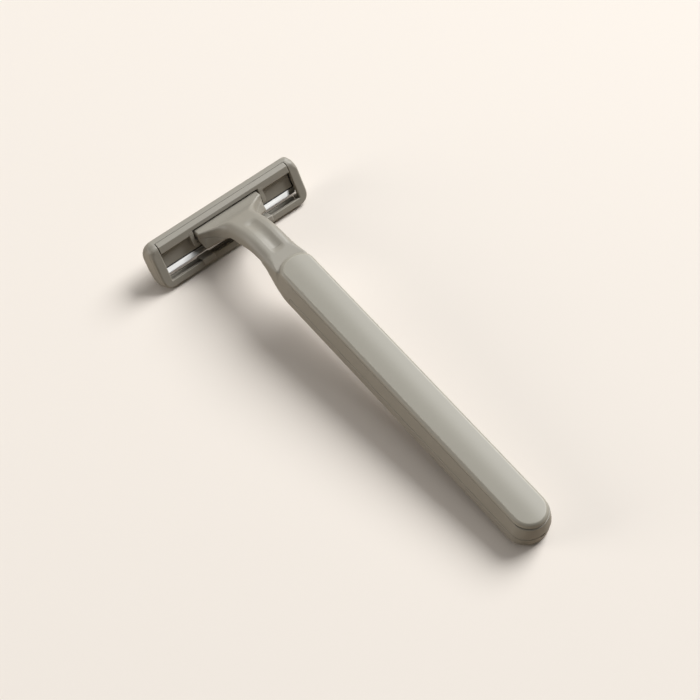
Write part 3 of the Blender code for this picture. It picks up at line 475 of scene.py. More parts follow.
def net(field, lines):
    """Points and faces of the surface where a field is zero."""
    values = field(lines[0][:, None, None], lines[1][None, :, None], lines[2][None, None, :])
    values = np.broadcast_to(values, [len(line) for line in lines])
    inside = values < 0
    count = np.zeros([len(line) - 1 for line in lines], int)
    for i in (0, 1):
        for j in (0, 1):
            for k in (0, 1):
                count += inside[i:i + count.shape[0], j:j + count.shape[1], k:k + count.shape[2]]
    active = (count > 0) & (count < 8)
    cells = np.argwhere(active)
    index = np.full(active.shape, -1)
    index[active] = np.arange(len(cells))
    total = np.zeros((len(cells), 3))
    crossings = np.zeros(len(cells))
    for axis in range(3):
        b, c = (axis + 1) % 3, (axis + 2) % 3
        for i in (0, 1):
            for j in (0, 1):
                start = cells.copy()
                start[:, b] += i
                start[:, c] += j
                end = start.copy()
                end[:, axis] += 1
                low, high = values[tuple(start.T)], values[tuple(end.T)]
                crossed = (low < 0) != (high < 0)
                share = np.where(crossed, low / np.where(crossed, low - high, 1.0), 0.0)
                place = np.stack([lines[n][start[:, n]] for n in range(3)], axis=1)
                place[:, axis] += share * (lines[axis][end[:, axis]] - lines[axis][start[:, axis]])
                total[crossed] += place[crossed]
                crossings += crossed
    points = total / crossings[:, None]
    faces = []
    for axis in range(3):
        b, c = (axis + 1) % 3, (axis + 2) % 3
        low = np.moveaxis(inside, axis, 0)[:-1]
        high = np.moveaxis(inside, axis, 0)[1:]
        edges = np.argwhere(np.moveaxis(low != high, 0, axis))
        edges = edges[(edges[:, b] > 0) & (edges[:, c] > 0)]
        edges = edges[(edges[:, b] < len(lines[b]) - 1) & (edges[:, c] < len(lines[c]) - 1)]
        ring = []
        for i, j in ((0, 0), (-1, 0), (-1, -1), (0, -1)):
            cell = edges.copy()
            cell[:, b] += i
            cell[:, c] += j
            ring.append(index[tuple(cell.T)])
        quads = np.stack(ring, axis=1)
        outward = inside[tuple(edges.T)]
        quads[~outward] = quads[~outward][:, ::-1]
        faces.append(quads)
    return points, np.concatenate(faces)


def slope_of(field, points, reach):
    """Slope and bend of a field at points, felt over a small reach."""
    slope = np.zeros_like(points)
    bend = -6 * field(*points.T)
    for axis in range(3):
        step = np.zeros(3)
        step[axis] = reach
        ahead, behind = field(*(points + step).T), field(*(points - step).T)
        slope[:, axis] = (ahead - behind) / (2 * reach)
        bend = bend + ahead + behind
    return slope, bend / reach**2


def settle(field, points, limit):
    """Points drawn on to the surface where the field is zero."""
    for _ in range(2):
        slope, _ = slope_of(field, points, SURFACE_FEEL)
        size = np.maximum((slope**2).sum(axis=1), LEAST_SLOPE)
        move = np.clip(field(*points.T), -limit, limit) / size
        points = points - slope * move[:, None]
    return points


def moulding(name, field, lines, place, material, feel=0.00006):
    """A mesh of a field's surface, set in place, its edges noted for the finish and as soft as the feel is wide."""
    points, faces = net(field, lines)
    points = settle(field, points, SURFACE_PULL)
    slope, bend = slope_of(field, points, feel)
    normals = slope / np.maximum(np.linalg.norm(slope, axis=1), 1e-9)[:, None]
    turn = np.array(place.to_3x3())
    points = points @ turn.T + np.array(place.translation)
    normals = normals @ turn.T
    mesh = bpy.data.meshes.new(name)
    mesh.vertices.add(len(points))
    mesh.vertices.foreach_set("co", points.astype(np.float32).ravel())
    mesh.loops.add(faces.size)
    mesh.loops.foreach_set("vertex_index", faces.astype(np.int32).ravel())
    mesh.polygons.add(len(faces))
    mesh.polygons.foreach_set("loop_start", np.arange(0, faces.size, 4, dtype=np.int32))
    mesh.polygons.foreach_set("use_smooth", np.ones(len(faces), bool))
    mesh.update(calc_edges=True)
    noted = mesh.attributes.new("edge_bend", "FLOAT", "POINT")
    noted.data.foreach_set("value", np.clip(bend * BEND_SCALE, -1.0, 1.0).astype(np.float32))
    mesh.normals_split_custom_set_from_vertices(normals.astype(np.float32))
    mesh.materials.append(material)
    piece = bpy.data.objects.new(name, mesh)
    bpy.context.scene.collection.objects.link(piece)
    return piece


def stand_for(piece, node, body):
    """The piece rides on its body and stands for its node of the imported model."""
    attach(piece, body)
    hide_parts(node)


# Places


def pivot_along(sizes):
    """Where the pivot axis lies along the handle."""
    return sizes.cover_length + NECK_REACH


def handle_place(sizes):
    """From the handle's coordinates to the row frame."""
    turn = Matrix.Rotation(PITCH, 4, "X")
    return Matrix.Translation(PIVOT) @ turn @ Matrix.Translation((0, -pivot_along(sizes), PIVOT_DROP))


def head_place():
    """From the head's coordinates (x, depth, rise) to the row frame."""
    turn = Matrix.Rotation(PITCH - HEAD_TILT, 4, "X")
    return Matrix.Translation(PIVOT) @ turn @ Matrix.Translation((0, -PIVOT_DEPTH, -PIVOT_RISE))


# Handle


def head_to_handle(sizes, depth, rise):
    """A point at a depth and rise from the pivot axis, in the handle's side view."""
    along = depth * math.cos(HEAD_TILT) + rise * math.sin(HEAD_TILT)
    up = rise * math.cos(HEAD_TILT) - depth * math.sin(HEAD_TILT)
    return pivot_along(sizes) + along, up - PIVOT_DROP


def right_half(half):
    """A closed outline that stands for the right half of a plan, from its rear end to its front end."""
    return half + [(-FAR, half[-1][1]), (-FAR, half[0][1])]


def butt_line(half_width, inset):
    """Half of the rounded butt in plan, from its middle to its side."""
    angles = [math.pi / 2 * i / BUTT_STEPS for i in range(BUTT_STEPS + 1)]
    return [(half_width * math.sin(a), inset + BUTT_DEPTH * (1 - math.cos(a))) for a in angles]


def grip_plan(sizes):
    """The grip's outline in plan at its widest level."""
    wide, narrow = sizes.grip_half_width, sizes.neck_half_width
    reach = NECK_OVERHANG + GAP
    front = [(between(wide, narrow, turn), sizes.cover_length + reach * share) for share, turn in TAPER]
    return right_half(butt_line(wide, 0.0) + curve_through(front, 4))


def grip_profile(sizes):
    """The grip's wall in section: distance in from its widest outline against height."""
    radius, deck = sizes.bottom_round, sizes.deck_height
    turns = np.linspace(0, math.pi / 2, 14)
    foot = [(-radius + radius * math.sin(a), radius - radius * math.cos(a)) for a in turns]
    corners = [(-FAR, 0.0), *foot, (0.0, sizes.seam_height - GAP / 2), (-sizes.deck_inset, deck), (-FAR, deck)]
    return [(float(u), float(v)) for u, v in corners]


def neck_lines(sizes):
    """The neck's top and underside in side view, down to the yoke."""
    start, reach = sizes.cover_length, NECK_REACH
    top = [(start + reach * a, sizes.deck_height * h) for a, h in NECK_TOP]
    under = [(start + reach * a, sizes.deck_height * h) for a, h in NECK_UNDER]
    pivot = pivot_along(sizes)
    top.append((pivot - YOKE_NEAR, YOKE_NEAR_HEIGHT - PIVOT_DROP))
    top.append(head_to_handle(sizes, YOKE_RADIUS * math.sin(FAR_EDGE), YOKE_RADIUS * math.cos(FAR_EDGE)))
    under.append((pivot - YOKE_FOOT, -PIVOT_DROP - YOKE_FOOT_DROP))
    return curve_through(top), curve_through(under)


def shell_side(sizes):
    """The shell's side view, with the seam, the neck and the yoke."""
    top, under = neck_lines(sizes)
    far_top = [head_to_handle(sizes, YOKE_RADIUS * math.sin(a), YOKE_RADIUS * math.cos(a))
               for a in np.linspace(FAR_EDGE, -FAR_EDGE, 7)]
    barrel = [head_to_handle(sizes, BARREL_RADIUS * math.cos(a), -BARREL_RADIUS * math.sin(a))
              for a in np.linspace(0, math.pi / 2, 10)]
    corners = [(-FAR, sizes.seam_height, 0), (sizes.cover_length, sizes.seam_height, EDGE_ROUND)]
    corners += [(sizes.cover_length, -FAR, 0), (under[0][0], -FAR, 0)]
    corners += [(*point, 0) for point in under[:-1]]
    corners += [(*under[-1], 0.0004), *[(*point, 0) for point in barrel[::-1]]]
    corners += [(*far_top[-1], 0.0003), *[(*point, 0) for point in far_top[-2:0:-1]], (*far_top[0], 0.00028)]
    corners += [(*point, 0) for point in top[-2::-1]]
    corners += [(top[0][0] - PAD_FRONT_DEPTH, sizes.deck_height, 0), (-FAR, sizes.deck_height, 0)]
    return rounded(corners)


def neck_plan(sizes, radius, shift=0.0):
    """Neck and yoke in plan, with a fillet of a radius between them, at the height of the yoke's near edge."""
    near = pivot_along(sizes) - YOKE_NEAR + shift
    narrow, wide = sizes.neck_half_width, sizes.yoke_half_width
    centre = (narrow + radius, near - radius)
    start = sizes.cover_length + sizes.pad_overhang - PAD_FRONT_DEPTH
    reach = min(radius, wide - narrow)
    half = [(narrow, start), *arc(centre, radius, math.pi, math.acos((reach - radius) / radius), 18)]
    corners = [(*point, 0) for point in half]
    corners += [(wide, near, 0.0007), (wide, near + FAR, 0), (-FAR, near + FAR, 0), (-FAR, start, 0)]
    return rounded(corners)


def leaf_line(sizes):
    """The return leaf's centre line in side view, from its root to its tip."""
    shift = pivot_along(sizes) - LEAF_PIVOT
    points = [(between(LEAF_ROOT[0], LEAF_TIP[0], a) + shift, between(LEAF_ROOT[1], LEAF_TIP[1], b))
              for a, b in LEAF_SHARES]
    return curve_through(points, 5)


def leaf_slot(sizes):
    """The channel under the neck that the leaf lies in, in side view."""
    line = leaf_line(sizes)
    clear = LEAF_THICKNESS / 2 + GAP
    roof = []
    for (y0, z0), (y1, z1) in zip(line, line[1:]):
        size = math.hypot(y1 - y0, z1 - z0)
        roof.append((y0 - clear * (z1 - z0) / size, z0 + clear * (y1 - y0) / size))
    reach = LEAF_ROOT_LENGTH / 2 + GAP
    root_top = line[0][1] + LEAF_ROOT_THICKNESS / 2 + GAP
    floor = line[-1][1] - SLOT_REACH
    slot = [(line[0][0] - reach, floor), (line[0][0] - reach, root_top), (line[0][0] + reach, root_top)]
    slot += [point for point in roof if point[0] > line[0][0] + reach]
    slot += [(roof[-1][0] + SLOT_REACH, roof[-1][1]), (roof[-1][0] + SLOT_REACH, floor)]
    return slot


def rib_places(sizes):
    """Where the cross ribs stand along the grip."""
    first, last = BUTT_DEPTH * 2, sizes.cover_length - BUTT_DEPTH * 2
    return [between(first, last, i / (sizes.rib_count - 1)) for i in range(sizes.rib_count)]


def peg_places(sizes):
    """Where the thumb pad's pegs stand, midway between ribs."""
    ribs = rib_places(sizes)
    spots = [0, len(ribs) // 2, len(ribs) - 2][:sizes.peg_count]
    return [between(ribs[i], ribs[i + 1], 0.5) for i in spots]


def grip_spans(*fine):
    """Grid lines along the grip: close at the butt and at the places named, wide apart between them."""
    stops = [(-0.0003, 0.0052, 0.00018)]
    for low, high in fine:
        stops.append((stops[-1][1], low, 0.0009))
        stops.append((low, high, 0.0002))
    return stops


def shell_field(sizes):
    """Distance field of the handle shell."""
    plan, profile, side = grip_plan(sizes), grip_profile(sizes), shell_side(sizes)
    neck, low_neck = neck_plan(sizes, FILLET_RADIUS, FILLET_SHIFT), neck_plan(sizes, LOW_FILLET_RADIUS)
    top, under = neck_lines(sizes)
    pivot = pivot_along(sizes)
    lean = (YOKE_FOOT - YOKE_NEAR) / (YOKE_NEAR_HEIGHT + YOKE_FOOT_DROP)
    base = YOKE_NEAR_HEIGHT - PIVOT_DROP
    slot = leaf_slot(sizes)
    roof = sizes.deck_height - DECK_THICKNESS
    lean_in = sizes.deck_inset / (sizes.deck_height - sizes.seam_height)
    inner = [
        (-FAR, -FAR), (-sizes.wall, -FAR), (-sizes.wall, sizes.seam_height),
        (-sizes.wall - lean_in * (roof - sizes.seam_height), roof), (-FAR, roof),
    ]
    foot = -PIVOT_DROP - YOKE_FOOT_DROP
    wing_side, wing_low = sizes.yoke_half_width - WING_ROUND, foot + WING_ROUND
    dimple_start, dimple_end = (pivot + place for place in DIMPLE_SPAN)
    neck_start, neck_end = (sizes.cover_length + place for place in NECK_BLEND)
    yoke_start, yoke_end = (pivot + place for place in YOKE_BLEND)
    line_start, line_end = (pivot + place for place in PARTING_BLEND)
    top_s, top_h = np.array(top).T
    under_s, under_h = np.array(under).T

    def field(x, s, h):
        wide = np.abs(x)
        edge = outline_distance(plan, wide, s)
        grip = outline_distance(profile, edge, h)
        shifted = s - lean * (h - base)
        low = smooth_step(base - h, 0.0, base - foot)
        walls = outline_distance(neck, wide, shifted) * (1 - low) + outline_distance(low_neck, wide, shifted) * low
        body = either(grip, walls, GRIP_FILLET)
        middle = (np.interp(s, top_s, top_h) + np.interp(s, under_s, under_h)) / 2
        upper = h > middle
        on_neck = smooth_step(s, neck_start, neck_end)
        at_yoke = smooth_step(s, yoke_start, yoke_end)
        sharpen = at_yoke * (YOKE_SHARPEN + WING_SHARPEN * smooth_step(wide, *WING_BLEND))
        high_round = GRIP_EDGE + on_neck * (sizes.neck_round - GRIP_EDGE) * (1 - sharpen)
        low_round = UNDER_EDGE + on_neck * UNDER_ROUND
        both_sides = outline_distance(side, s, h)
        solid = both(body, both_sides, np.where(upper, high_round, low_round))
        corner = np.hypot(np.maximum(wide - wing_side, 0.0), np.maximum(wing_low - h, 0.0)) - WING_ROUND
        corner = np.where((wide > wing_side) & (h < wing_low), corner, -WING_ROUND)
        solid = np.where(s > pivot - WING_START, both(solid, corner, TUB_ROUND), solid)
        across = np.clip(x / (sizes.dimple_width / 2), -1.0, 1.0)
        away = np.clip((s - dimple_start) / (dimple_end - dimple_start), 0.0, 1.0)
        hollow = (1 - across**2) ** 1.5 * np.minimum(1.0, DIMPLE_RISE * np.sin(np.pi * away) ** 1.2)
        solid = solid + np.where(upper, sizes.dimple_depth * hollow, 0.0)
        line = foot + PARTING_HEIGHT * (base - foot) + PARTING_SLOPE * (pivot - YOKE_NEAR - s)
        parting = np.exp(-((h - line) / PARTING_WIDTH) ** 2) * smooth_step(s, line_start, line_end)
        solid = solid + PARTING_DEPTH * parting
        hollow_out = both(outline_distance(inner, edge, h), s - (sizes.cover_length - sizes.wall), WALL_ROUND)
        solid = cut(solid, hollow_out, EDGE_ROUND)
        for place in peg_places(sizes):
            hole = np.hypot(x, s - place) - PEG_RADIUS - GAP / 2
            solid = cut(solid, both(hole, sizes.seam_height - h), EDGE_ROUND)
        channel = both(outline_distance(slot, s, h), wide - LEAF_HALF_WIDTH - GAP)
        solid = cut(solid, channel, EDGE_ROUND)
        reach = span(wide, sizes.yoke_half_width - sizes.wall, sizes.yoke_half_width + TRUNNION_LENGTH)
        pin = both(np.hypot(s - pivot, h + PIVOT_DROP) - TRUNNION_RADIUS, reach, EDGE_ROUND)
        return either(solid, pin)

    return field


def cover_field(sizes):
    """Distance field of the back cover."""
    plan, profile = grip_plan(sizes), grip_profile(sizes)
    seam = sizes.seam_height - sizes.seam_gap
    lean_in = sizes.deck_inset / (sizes.deck_height - sizes.seam_height)
    lip_out, lip_in = sizes.wall + GAP, sizes.wall + GAP + LIP_WALL
    end = sizes.cover_length

    def field(x, s, h):
        edge = outline_distance(plan, np.abs(x), s)
        shell = both(outline_distance(profile, edge, h), h - seam, EDGE_ROUND)
        shell = both(shell, s - (end - sizes.seam_gap), EDGE_ROUND)
        above = np.maximum(0.0, h - sizes.seam_height)
        lip = both(edge + lip_out + lean_in * above, h - (sizes.seam_height + LIP_HEIGHT), EDGE_ROUND)
        lip = both(lip, s - (end - sizes.wall - GAP), EDGE_ROUND)
        lip = both(lip, COVER_FLOOR / 2 - h)
        tub = both(edge + lip_in, COVER_FLOOR - h, TUB_ROUND)
        tub = both(tub, s - (end - sizes.wall - LIP_WALL - GAP), TUB_ROUND)
        solid = cut(either(shell, lip), tub, EDGE_ROUND)
        notch = both(np.abs(x) - NOTCH_HALF_WIDTH, np.maximum(s - NOTCH_LENGTH, seam - NOTCH_DROP - h), EDGE_ROUND)
        return cut(solid, notch, CUT_ROUND)

    return field


def pad_field(sizes):
    """Distance field of the thumb pad."""
    half_width = sizes.grip_half_width - sizes.deck_inset
    end = sizes.cover_length + sizes.pad_overhang
    front = [(half_width * math.cos(a), end - PAD_FRONT_DEPTH + PAD_FRONT_DEPTH * math.sin(a))
             for a in np.linspace(0, math.pi / 2, 26)]
    front[-1] = (0.0, end)
    plan = right_half(butt_line(half_width, DECK_BUTT_INSET) + front)
    base = sizes.deck_height + sizes.seam_gap * 0.5
    top = sizes.deck_height + GAP + sizes.pad_thickness
    side = sizes.pad_side_round
    flank = [
        (-PAD_FOOT - side * (math.sin(PAD_STEEP) - math.sin(a)), top - side * (math.cos(PAD_GENTLE) - math.cos(a)))
        for a in np.linspace(PAD_STEEP, PAD_GENTLE, 12)
    ]
    corners = [(-FAR, base, 0), (-PAD_FOOT, base, PAD_FOOT), *[(*point, 0) for point in flank[:-1]]]
    profile = rounded([*corners, (*flank[-1], 0.00035), (-FAR, top, 0)])

    def field(x, s, h):
        edge = outline_distance(plan, np.abs(x), s)
        tip = smooth_step(s, end - PAD_FRONT_DEPTH * 1.1, end - PAD_FRONT_DEPTH * 0.2)
        crown = sizes.pad_crown * (x / half_width) ** 2 * np.clip((h - base) / (top - base), 0.0, 1.2) ** 2
        return outline_distance(profile, edge * (1 - PAD_TIP * tip), h + crown)

    return field


# Head


def stack_point(along, offset):
    """Depth and rise of a point along a blade from the lower edge, and square to it."""
    rise = EDGE_RISE + along * math.cos(BLADE_ANGLE) + offset * math.sin(BLADE_ANGLE)
    depth = EDGE_DEPTH - along * math.sin(BLADE_ANGLE) + offset * math.cos(BLADE_ANGLE)
    return depth, rise


def cap_offset():
    """How far the blade cap's back lies from the lower blade's back."""
    return 2 * BLADE_THICKNESS + SPACER_THICKNESS + 3 * BLADE_GAP


def cap_outline(sizes):
    """Side view of the head's end caps and rails, as depth and rise."""
    return rounded([(sizes.depth * d, sizes.rise * r, radius / 1000) for r, d, radius in CAP_SIDE])


def end_face(sizes, x, depth, rise):
    """Distance out from an end cap's face, which flares with depth and draws in at its corners."""
    low = rise < sizes.rise / 2
    inside = np.where(low, rise / LOW_CORNER[0], (sizes.rise - rise) / FAR_CORNER[0])
    turn = 1 - np.clip(inside, 0.0, 1.0)
    inset = np.where(low, LOW_CORNER[1], FAR_CORNER[1]) * (1 - np.sqrt(np.maximum(0.0, 1 - turn**2)))
    return np.abs(x) - (sizes.half_length + sizes.end_flare * depth / sizes.depth - inset)


def stud_places(sizes):
    """Where the cap's studs stand along the blades."""
    return [STUD_PITCH * (i - (sizes.stud_count - 1) / 2) for i in range(sizes.stud_count)]


def stud_hole(sizes, x, depth, rise):
    """Distance to the holes for the cap's studs."""
    foot = stack_point(STUD_ALONG, 0.0)
    across = (rise - foot[1]) * math.cos(BLADE_ANGLE) - (depth - foot[0]) * math.sin(BLADE_ANGLE)
    along = (rise - foot[1]) * math.sin(BLADE_ANGLE) + (depth - foot[0]) * math.cos(BLADE_ANGLE)
    nearest = np.min([np.abs(x - place) for place in stud_places(sizes)], axis=0)
    hole = np.hypot(nearest, across) - STUD_RADIUS - BLADE_GAP
    return both(hole, span(along, -STUD_SINK - BLADE_GAP, cap_offset()))


def guard_bed():
    """Depth at which the guard strip's bed is cut in the rail."""
    return EDGE_DEPTH - STRIP_BASE - FIN_HEIGHT - GAP / 2


def frame_field(sizes):
    """Distance field of the head frame."""
    outline = cap_outline(sizes)
    opening = sizes.half_length - sizes.cap_width
    top = sizes.rise - sizes.far_rail

    def field(x, d, r):
        side = outline_distance(outline, d, r)
        end = end_face(sizes, x, d, r)
        wide = np.abs(x)
        crest = CREST_ROUND * smooth_step(r, *CREST_SPAN) * smooth_step(CREST_DEPTH - d, 0.0, CREST_DEPTH / 2)
        solid = both(side, end, sizes.end_round + crest)
        groove = both(np.abs(side + GROOVE_INSET) - GROOVE_HALF_WIDTH, -end - GROOVE_HALF_WIDTH, GROOVE_ROUND)
        solid = cut(solid, groove, FINE_ROUND)
        gate = span(r, sizes.guard_rise, top)
        solid = cut(solid, both(gate, wide - opening), np.where(r > top - 0.0004, FINE_ROUND, WALL_ROUND))
        pack = both(gate, np.maximum(wide - (sizes.half_length - END_WALL), LEDGE_DEPTH - d))
        pack = np.maximum(pack, end + END_SKIN + crest)
        solid = cut(solid, pack, CUT_ROUND)
        seat = both(guard_bed() - d, np.maximum(wide - opening, r - sizes.guard_rise - GAP))
        solid = cut(solid, seat, CUT_ROUND)
        rail = span(r, RAIL_FLOOR, sizes.guard_rise + GAP)
        hollow = both(RAIL_THICKNESS - d, np.maximum(wide - opening, rail))
        hollow = np.maximum(hollow, d - guard_bed() - GAP)
        return cut(solid, hollow, WALL_ROUND)

    return field


def carrier_outline(sizes):
    """Side view of the blade carrier's bar and bed, as depth and rise."""
    crest = sizes.rise * CAP_SIDE[2][0]
    plateau = (sizes.rise * CAP_SIDE[3][0] - crest, sizes.depth * CAP_SIDE[3][1])
    top = sizes.rise - sizes.far_rail - sizes.line_gap
    back = sizes.depth - CAP_THICKNESS
    upper_heel = BLADE_SPAN + BLADE_WIDTH + BLADE_GAP
    spacer_back = BLADE_THICKNESS + BLADE_GAP
    upper_back = spacer_back + SPACER_THICKNESS + BLADE_GAP
    spacer_end = SPACER_FRONT + SPACER_WIDTH + BLADE_GAP
    heel = BLADE_WIDTH + BLADE_GAP
    bed_front = (BED_LOW - EDGE_RISE) / math.cos(BLADE_ANGLE)
    cap_heel = stack_point(upper_heel, cap_offset())
    corners = [
        (0.0, BEAM_LOW, 0.0002), (0.0, crest, 0.0002),
        (plateau[1] * (top - crest) / plateau[0], top, EDGE_ROUND), (back - BLADE_GAP, top, EDGE_ROUND),
        (back - BLADE_GAP, cap_heel[1] + 2 * BLADE_GAP, 0), (cap_heel[0] - BLADE_GAP, cap_heel[1] + BLADE_GAP, 0),
    ]
    steps = (
        (upper_heel, upper_back), (spacer_end, upper_back), (spacer_end, spacer_back), (heel, spacer_back),
        (heel, 0.0),
    )
    corners += [(*stack_point(along, step - BLADE_GAP), 0) for along, step in steps]
    corners.append((*stack_point(bed_front, -BLADE_GAP), 0.00008))
    corners += [(BED_DEPTH, BED_LOW, 0.00018), (BED_DEPTH, BEAM_LOW, 0.0002)]
    return rounded(corners)


def swing_pocket():
    """Side view of the pocket that the yoke swings in, as depth and rise."""
    radius = YOKE_RADIUS + SWING_GAP
    socket = BARREL_RADIUS + GAP
    sweep = [(-FAR, radius * math.cos(math.radians(SWEEP_ANGLES[0])))]
    sweep += [(radius * math.sin(a), radius * math.cos(a)) for a in np.radians(np.linspace(*SWEEP_ANGLES, 14))]
    sweep += [(socket * math.cos(a), -socket * math.sin(a)) for a in np.linspace(0, math.pi / 2, 10)]
    sweep.append((-FAR, -socket))
    return [(depth + PIVOT_DEPTH, rise + PIVOT_RISE) for depth, rise in sweep]


def stop_outline():
    """Side view of the ledge that the yoke's foot rests on, as depth and rise."""
    foot_depth = -YOKE_FOOT * math.cos(HEAD_TILT) + YOKE_FOOT_DROP * math.sin(HEAD_TILT)
    foot_rise = -YOKE_FOOT * math.sin(HEAD_TILT) - YOKE_FOOT_DROP * math.cos(HEAD_TILT)
    slope = foot_depth / (foot_rise + BARREL_RADIUS)
    reach = GAP * math.hypot(1.0, slope)
    root = BED_DEPTH - PIVOT_DEPTH + GAP
    corners = [(root, -STOP_HIGH)]
    corners += [(slope * (BARREL_RADIUS - drop) + reach, -drop) for drop in (STOP_HIGH, STOP_LOW)]
    corners.append((root, -STOP_LOW))
    return [(depth + PIVOT_DEPTH, rise + PIVOT_RISE) for depth, rise in corners]


def carrier_field(handle, sizes):
    """Distance field of the blade carrier."""
    outline, pocket, stop = carrier_outline(sizes), swing_pocket(), stop_outline()
    half = sizes.half_length - sizes.cap_width - sizes.line_gap - END_LINE
    inner = handle.yoke_half_width + POST_GAP
    post_top = BEAM_LOW + POST_LAP
    plate = rounded([
        (0.0, POST_LOW, 0.0003), (0.8 * POST_THICKNESS, POST_LOW, 0.0004),
        (POST_THICKNESS, POST_LOW + POST_LAP, 0.001), (POST_THICKNESS, post_top, 0), (0.0, post_top, 0),
    ])

    def field(x, d, r):
        wide = np.abs(x)
        solid = both(outline_distance(outline, d, r), wide - half, EDGE_ROUND)
        solid = cut(solid, both(outline_distance(pocket, d, r), wide - inner, EDGE_ROUND), POST_ROUND)
        ledge = both(outline_distance(stop, d, r), wide - (handle.yoke_half_width - handle.wall), EDGE_ROUND)
        solid = either(solid, ledge)
        post = both(outline_distance(plate, wide - inner, r), span(d, 0.0, BED_DEPTH + GAP), EDGE_ROUND)
        solid = either(solid, post, POST_ROUND)
        reach = span(wide, handle.yoke_half_width, handle.yoke_half_width + TRUNNION_LENGTH + BLADE_GAP)
        hole = np.hypot(d - PIVOT_DEPTH, r - PIVOT_RISE) - TRUNNION_RADIUS - SOCKET_GAP
        solid = cut(solid, both(hole, reach), FINE_ROUND)
        return cut(solid, stud_hole(sizes, x, d, r))

    return field


def guard_low(sizes):
    """Rise of the guard strip's low edge."""
    return sizes.guard_rise * GUARD_LOW


def guard_field(sizes):
    """Distance field of the guard strip's base and its two lugs."""
    base = guard_bed() + GAP / 2
    low = guard_low(sizes)
    high = sizes.guard_rise + BLADE_GAP + LUG_WALL
    strip = rounded([
        (base, low, 0.00005), (base, STRIP_HIGH, 0.00005), (base + STRIP_BASE, STRIP_HIGH, EDGE_ROUND),
        (base + STRIP_BASE, low, EDGE_ROUND),
    ])
    inner = sizes.guard_rise + BLADE_GAP
    back = -BLADE_GAP - LUG_WALL
    hook = rounded([
        (base + STRIP_BASE, high, EDGE_ROUND), (base + STRIP_BASE, low, 0), (base, low, 0), (base, inner, 0),
        (-BLADE_GAP, inner, FINE_ROUND), (-BLADE_GAP, LUG_LOW, 0.00006), (back, LUG_LOW, 0.00016),
        (back, high, 0.00024),
    ])
    half = sizes.half_length - sizes.cap_width - GAP

    def field(x, d, r):
        wide = np.abs(x)
        solid = both(outline_distance(strip, d, r), wide - half, EDGE_ROUND)
        lug = both(outline_distance(hook, d, r), span(wide, LUG_INNER, LUG_INNER + LUG_WIDTH), 0.00022)
        return either(solid, lug, EDGE_ROUND)

    return field


def cap_line(sizes, share):
    """A point along the blade cap's back, from its front edge to the far rail."""
    front = stack_point(CAP_FRONT, cap_offset())
    return between(front[1], sizes.rise - sizes.far_rail - GAP, share), sizes.depth - CAP_THICKNESS


def strip_bed(sizes):
    """Low and high rise of the lubricating strip's bed."""
    middle = cap_line(sizes, 0.52)[0]
    return middle - sizes.strip_width / 2, middle + sizes.strip_width / 2


def blade_cap_field(sizes):
    """Distance field of the cap that clamps the blades."""
    heel = BLADE_SPAN + BLADE_WIDTH + BLADE_GAP
    front = stack_point(CAP_FRONT, cap_offset())
    rise_end, back = cap_line(sizes, 1.0)
    heel_point = stack_point(heel, cap_offset())
    corners = [(*front, EDGE_ROUND), (*heel_point, 0), (back, heel_point[1] + BLADE_GAP, 0)]
    corners.append((back, rise_end, EDGE_ROUND))
    for share, height in reversed(CAP_CROWN):
        rise, _ = cap_line(sizes, share)
        level = between(front[0], back, share)
        corners.append((between(level, sizes.depth, height), rise, 0.0006))
    outline = rounded(corners)
    low, high = strip_bed(sizes)
    half = sizes.half_length - END_WALL - GAP

    def field(x, d, r):
        wide = np.abs(x)
        solid = both(outline_distance(outline, d, r), wide - half, WALL_ROUND)
        bed = both(span(r, low - GAP / 2, high + GAP / 2), sizes.depth - STRIP_SINK - d)
        bed = both(bed, wide - (half - STRIP_END + GAP / 2), TUB_ROUND)
        return cut(solid, bed, CUT_ROUND)

    return field


def strip_field(sizes):
    """Distance field of the lubricating strip, a little crowned, with shallow channels along it."""
    low, high = strip_bed(sizes)
    floor = sizes.depth - STRIP_SINK + BLADE_GAP
    crown = STRIP_SINK * 0.25
    outline = rounded([
        (floor, low, 0.00005), (floor, high, 0.00005), (sizes.depth - crown, high, 0.0002),
        (sizes.depth, between(low, high, 0.66), 0.001), (sizes.depth, between(low, high, 0.34), 0.001),
        (sizes.depth - crown, low, 0.0002),
    ])
    half = sizes.half_length - END_WALL - GAP - STRIP_END

    def field(x, d, r):
        solid = both(outline_distance(outline, d, r), np.abs(x) - half, WALL_ROUND)
        wave = np.cos((r - low) / (high - low) * math.pi * 2 * STRIP_CHANNELS)
        return solid + CHANNEL_DEPTH * (1 + wave) * smooth_step(d, sizes.depth - 0.0002, sizes.depth - 0.0001)

    return field


# Node trees for what repeats and for what follows a path


def input_of(tree, name):
    """Identifier of a named input of a node tree."""
    items = tree.interface.items_tree
    return next(item.identifier for item in items if item.name == name and item.in_out == "INPUT")


def new_tree(name, inputs):
    """A geometry node tree with named inputs, and its input and output nodes."""
    tree = bpy.data.node_groups.new(name, "GeometryNodeTree")
    tree.interface.new_socket("Geometry", in_out="INPUT", socket_type="NodeSocketGeometry")
    for label, kind in inputs:
        tree.interface.new_socket(label, in_out="INPUT", socket_type="NodeSocket" + kind)
    tree.interface.new_socket("Geometry", in_out="OUTPUT", socket_type="NodeSocketGeometry")
    return tree, tree.nodes.new("NodeGroupInput"), tree.nodes.new("NodeGroupOutput")


def wire(tree, rows):
    """Links from (node, output, node, input) rows."""
    for source, given, target, taken in rows:
        tree.links.new(source.outputs[given], target.inputs[taken])


def finished(tree, source, output, given, made):
    """The end of a tree: instances made real, and the finish set."""
    real = tree.nodes.new("GeometryNodeRealizeInstances")
    finish = tree.nodes.new("GeometryNodeSetMaterial")
    wire(tree, [
        (source, output, real, "Geometry"), (real, "Geometry", finish, "Geometry"),
        (given, "Finish", finish, "Material"), (finish, "Geometry", made, "Geometry"),
    ])
    return tree


